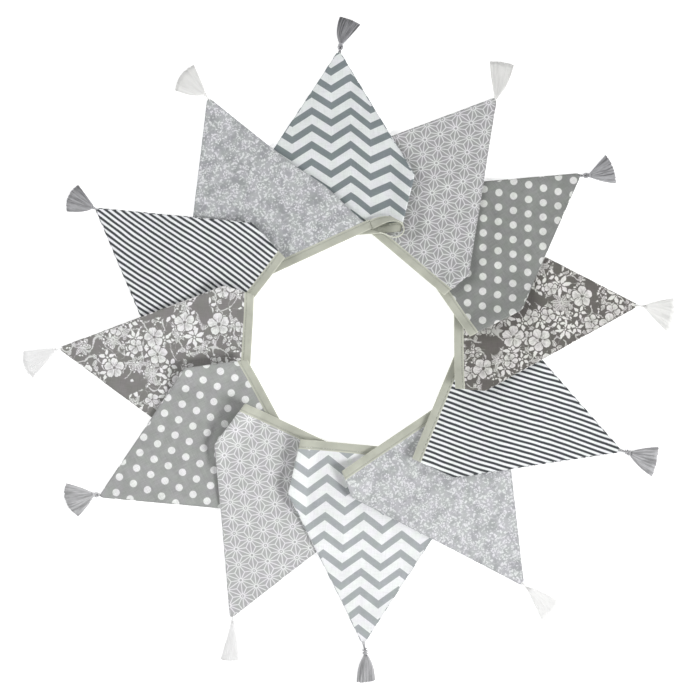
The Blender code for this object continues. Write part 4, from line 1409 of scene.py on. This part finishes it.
class Fan:
    """Plan of a tassel's skirt: across from -1 to 1, along from 0 at its neck to its end."""

    def __init__(self, row):
        self.row = row
        self.neck = Vector((row.x, row.y)) * MM
        self.left = Vector((row.left_x, row.left_y)) * MM
        self.right = Vector((row.right_x, row.right_y)) * MM
        self.axis = ((self.left + self.right) / 2 - self.neck).normalized()
        self.side = Vector((self.axis.y, -self.axis.x))

    def edge(self, corner, hand, out, along):
        """Place on one side of the skirt."""
        start = self.neck + self.side * (hand * ROOT_HALF)
        way = corner - start
        outward = Vector((way.y, -way.x)).normalized() * hand
        middle = start + way * 0.4 + outward * (2 * out * MM)
        rest = 1.0 - along
        return start * rest ** 2 + middle * (2 * along * rest) + corner * along ** 2

    def place(self, across, along, lift):
        """Place in the skirt, at a height over its smooth top."""
        left = self.edge(self.left, -1.0, self.row.left_out, along)
        right = self.edge(self.right, 1.0, self.row.right_out, along)
        dome = math.sqrt(max(1.0 - across ** 2, 0.0))
        spot = left.lerp(right, (1.0 + across) / 2)
        spot += self.axis * (self.row.end_out * MM * dome ** 2 * along ** 2)
        top = SKIRT_NECK + (SKIRT_END - SKIRT_NECK) * smooth_step(along)
        return Vector((*spot, SKIRT_RIM + (top - SKIRT_RIM) * dome + lift))


def make_skirt(mesh, maps, fan, dice):
    """A fan of strands, lying half sunk in a smooth body of more yarn."""
    settings = bpy.context.scene.bunting_tassels
    length = ((fan.left + fan.right) / 2 - fan.neck).length / MM
    rings = []
    for along in evenly(0.0, BODY_END, BODY_ROWS):
        ring = []
        for angle in evenly(0.0, math.pi, BODY_COLUMNS):
            across = -math.cos(angle)
            ring.append((fan.place(across, along, -BODY_SUNK), (along * length, across * STREAKS)))
        ring += [(Vector((*place.xy, BODY_FLOOR)), spot) for place, spot in ring[-2:0:-1]]
        rings.append(ring)
    skin(mesh, maps, rings)
    for strand in range(settings.strands):
        across = (2 * strand + 1 + dice.uniform(-0.8, 0.8)) / settings.strands - 1.0
        across = min(max(across, -0.99), 0.99)
        drift = dice.uniform(-0.05, 0.05)
        end = 1.0 + dice.uniform(-0.022, 0.012)
        half = settings.strand / 2 * dice.uniform(0.85, 1.15)
        lift = dice.uniform(-0.12, 0.22) * MM
        path = []
        for at in evenly(0.0, 1.0, STRAND_SEGMENTS):
            swing = drift * math.sin(2 * math.pi * at) * (1.0 - across ** 2)
            place = fan.place(across + swing, at * end, lift)
            place.z = max(place.z, half)
            path.append(place)
        row = across * STREAKS + dice.uniform(-0.2, 0.2)
        tube(mesh, maps, path, [half] * len(path), STRAND_SIDES, row)


def make_head(mesh, maps, fan, pennant, dice):
    """Two cords from the pennant's point to the neck, and the knot that ties them."""
    start = pennant.plan(Vector((0.0, pennant.height - TIP_BLUNT - TIP_SHORT / 2)))
    way = (fan.neck - start).normalized().to_3d()
    side = Vector((way.y, -way.x, 0.0))

    def centre(at, height):
        return Vector((*start.lerp(fan.neck, at), height))

    for hand in (-1.0, 1.0):
        path = []
        halves = []
        for at in evenly(0.0, 1.0, CORD_POINTS):
            apart = CORD_HALF * (0.95 + 0.35 * math.sin(3 * math.pi * at))
            height = CORD_HALF * (1.3 + 0.3 * hand * math.sin(2 * math.pi * at)) + CORD_RISE * at
            path.append(centre(at, height) + side * (hand * apart))
            halves.append(CORD_HALF * (1.0 + 0.5 * smooth_step(3 * at - 2)))
        tube(mesh, maps, path, halves, CORD_SIDES, dice.uniform(0.0, 20.0))
    for wrap in KNOTS[fan.row.knot]:
        reach = wrap.reach * MM
        tall = WRAP_FLAT * reach
        wrap_round(mesh, maps, centre(wrap.at, tall + WRAP_HALF),
                   (side + way * wrap.tilt) * reach, UP * tall, WRAP_HALF,
                   dice.uniform(0.0, 20.0))
    if fan.row.knot == "ring":
        wrap_round(mesh, maps, centre(RING_AT, RING_LIFT), side * RING_REACH + UP * RING_TILT,
                   way * (RING_LONG * RING_REACH), RING_HALF, dice.uniform(0.0, 20.0))


def make_tassel(number, pennant):
    """One tassel: cords tied at the pennant's point, and a fan of yarn."""
    fan = Fan(TASSEL_ROWS[number - 1])
    dice = random.Random(100 + number)
    mesh = bmesh.new()
    maps = mesh.loops.layers.uv.new("strand")
    make_skirt(mesh, maps, fan, dice)
    make_head(mesh, maps, fan, pennant, dice)
    bmesh.ops.recalc_face_normals(mesh, faces=mesh.faces[:])
    name = f"tassel_{number:02d}_{fan.row.yarn}"
    return finish_piece(mesh, f"yarn_{name}", tassel_yarn(number, fan.row), [name])


# ---- stage ----
VIEW_CENTRE = (1.23 * MM, -0.26 * MM)
VIEW_WIDTH = IMAGE_SIDE * MM
SENSOR = 36.0
FLOOR_SIDE = 12.0
FLOOR_BELOW = 0.05 * MM
FLOOR_GLOW = 0.5
KEY_PLACE = (2.7, -1.4, 1.9)  # low on the right, so that the folds cast their shadows
KEY_SIDE = 1.1
FILL_PLACE = (-3.0, 0.5, 1.9)
FILL_SIDE = 2.0
OVERHEAD_SHARE = 0.08         # of the light from the walls


def make_floor(colour):
    """Painted studio floor: matt and near white, with faint patches of brush and wear."""
    drop_selection()
    bpy.ops.mesh.primitive_plane_add(size=FLOOR_SIDE, location=(0.0, 0.0, -FLOOR_BELOW))
    floor = bpy.context.object
    floor.name = "studio_floor"
    material, tree, shader = new_material("matt_white_paint", 0.95, 0.0, 0.1)
    place = add_node(tree, "TexCoord").outputs["Object"]
    dye(tree, shader, colour[:], patches(tree, place, 14.0, 4.0, 0.3, 0.7, 0.985, 1.0))
    shader.inputs["Emission Color"].default_value = opaque(colour)
    shader.inputs["Emission Strength"].default_value = FLOOR_GLOW
    floor.data.materials.append(material)


def make_light(name, place, size, power):
    light = bpy.data.lights.new(name, "AREA")
    light.shape = "SQUARE"
    light.size = size
    light.energy = power
    item = bpy.data.objects.new(name, light)
    item.location = place
    item.rotation_euler = (-Vector(place)).to_track_quat("-Z", "Y").to_euler()
    bpy.context.scene.collection.objects.link(item)


def white_tent(strength):
    """Light from all round, bright from the walls and weak from overhead."""
    world = bpy.data.worlds.new("white_tent")
    world.use_nodes = True
    tree = world.node_tree
    way = add_node(tree, "SeparateXYZ", add_node(tree, "TexCoord").outputs["Generated"])
    level = add_node(tree, "MapRange", way.outputs[2], 0.35, 0.85, strength,
                     strength * OVERHEAD_SHARE)
    background = tree.nodes["Background"]
    background.inputs["Color"].default_value = (1.0, 1.0, 1.0, 1.0)
    tree.links.new(level.outputs[0], background.inputs["Strength"])
    return world


def make_camera(lens):
    data = bpy.data.cameras.new("view_from_above")
    data.lens = lens
    data.sensor_width = SENSOR
    data.clip_end = 20.0
    camera = bpy.data.objects.new("view_from_above", data)
    camera.location = (*VIEW_CENTRE, VIEW_WIDTH * lens / SENSOR)
    bpy.context.scene.collection.objects.link(camera)
    bpy.context.scene.camera = camera


# ---- operators ----
class OBJECT_OT_bunting_pennants(bpy.types.Operator):
    """Sew the twelve printed cotton pennants and lay them in the ring"""
    bl_idname = "object.bunting_pennants"
    bl_label = "Add Pennants"

    def execute(self, context):
        for pennant in laid_pennants():
            make_pennant(pennant)
        return {"FINISHED"}


class OBJECT_OT_bunting_tape(bpy.types.Operator):
    """Bind the pennants with folded tape, its stitches, and the hanging loop at its end"""
    bl_idname = "object.bunting_tape"
    bl_label = "Add Tape and Loop"

    def execute(self, context):
        cotton = bias_cotton()
        for name, nodes, pairs in (("tape", ["binding_tape"], tape_pairs()),
                                   ("loop", ["hanging_loop"], loop_pairs())):
            strip = Strip(pairs)
            tape = folded_tape(strip, f"cotton_bias_{name}", nodes, cotton)
            stitches = sewn_line(strip, f"stitches_{name}")
        return {"FINISHED"}


class OBJECT_OT_bunting_tassels(bpy.types.Operator):
    """Tie a yarn tassel to the point of each pennant"""
    bl_idname = "object.bunting_tassels"
    bl_label = "Add Tassels"

    def execute(self, context):
        for number in range(1, PENNANTS + 1):
            make_tassel(number, PennantFrame(number))
        return {"FINISHED"}


class SCENE_OT_bunting_stage(bpy.types.Operator):
    """Set the pale floor, the soft studio light and the camera above the ring"""
    bl_idname = "scene.bunting_stage"
    bl_label = "Add Stage"

    def execute(self, context):
        stage = context.scene.bunting_stage
        make_floor(stage.floor)
        make_light("key_softbox", KEY_PLACE, KEY_SIDE, stage.key)
        make_light("fill_softbox", FILL_PLACE, FILL_SIDE, stage.fill)
        make_camera(stage.lens)
        context.scene.world = white_tent(stage.tent)
        context.scene.view_settings.view_transform = "Standard"
        return {"FINISHED"}


class VIEW3D_PT_bunting(bpy.types.Panel):
    """Buttons that make the bunting piece by piece"""
    bl_label = "Bunting"
    bl_space_type = "VIEW_3D"
    bl_region_type = "UI"
    bl_category = "Bunting"

    def draw(self, context):
        for step in STEPS:
            self.layout.operator(step.bl_idname)


STEPS = (SCENE_OT_bunting_stage, OBJECT_OT_bunting_pennants, OBJECT_OT_bunting_tape,
         OBJECT_OT_bunting_tassels)
SETTINGS = {
    "bunting_cloth": ClothSettings,
    "bunting_tape": TapeSettings,
    "bunting_tassels": TasselSettings,
    "bunting_stage": StageSettings,
}


def register():
    for item in (*SETTINGS.values(), *STEPS, VIEW3D_PT_bunting):
        bpy.utils.register_class(item)
    for name, group in SETTINGS.items():
        setattr(bpy.types.Scene, name, bpy.props.PointerProperty(type=group))


def unregister():
    for name in SETTINGS:
        delattr(bpy.types.Scene, name)
    for item in reversed((*SETTINGS.values(), *STEPS, VIEW3D_PT_bunting)):
        bpy.utils.unregister_class(item)


def main():
    register()
    bpy.ops.scene.bunting_stage()
    bpy.ops.object.bunting_pennants()
    bpy.ops.object.bunting_tape()
    bpy.ops.object.bunting_tassels()


if __name__ == "__main__":
    main()
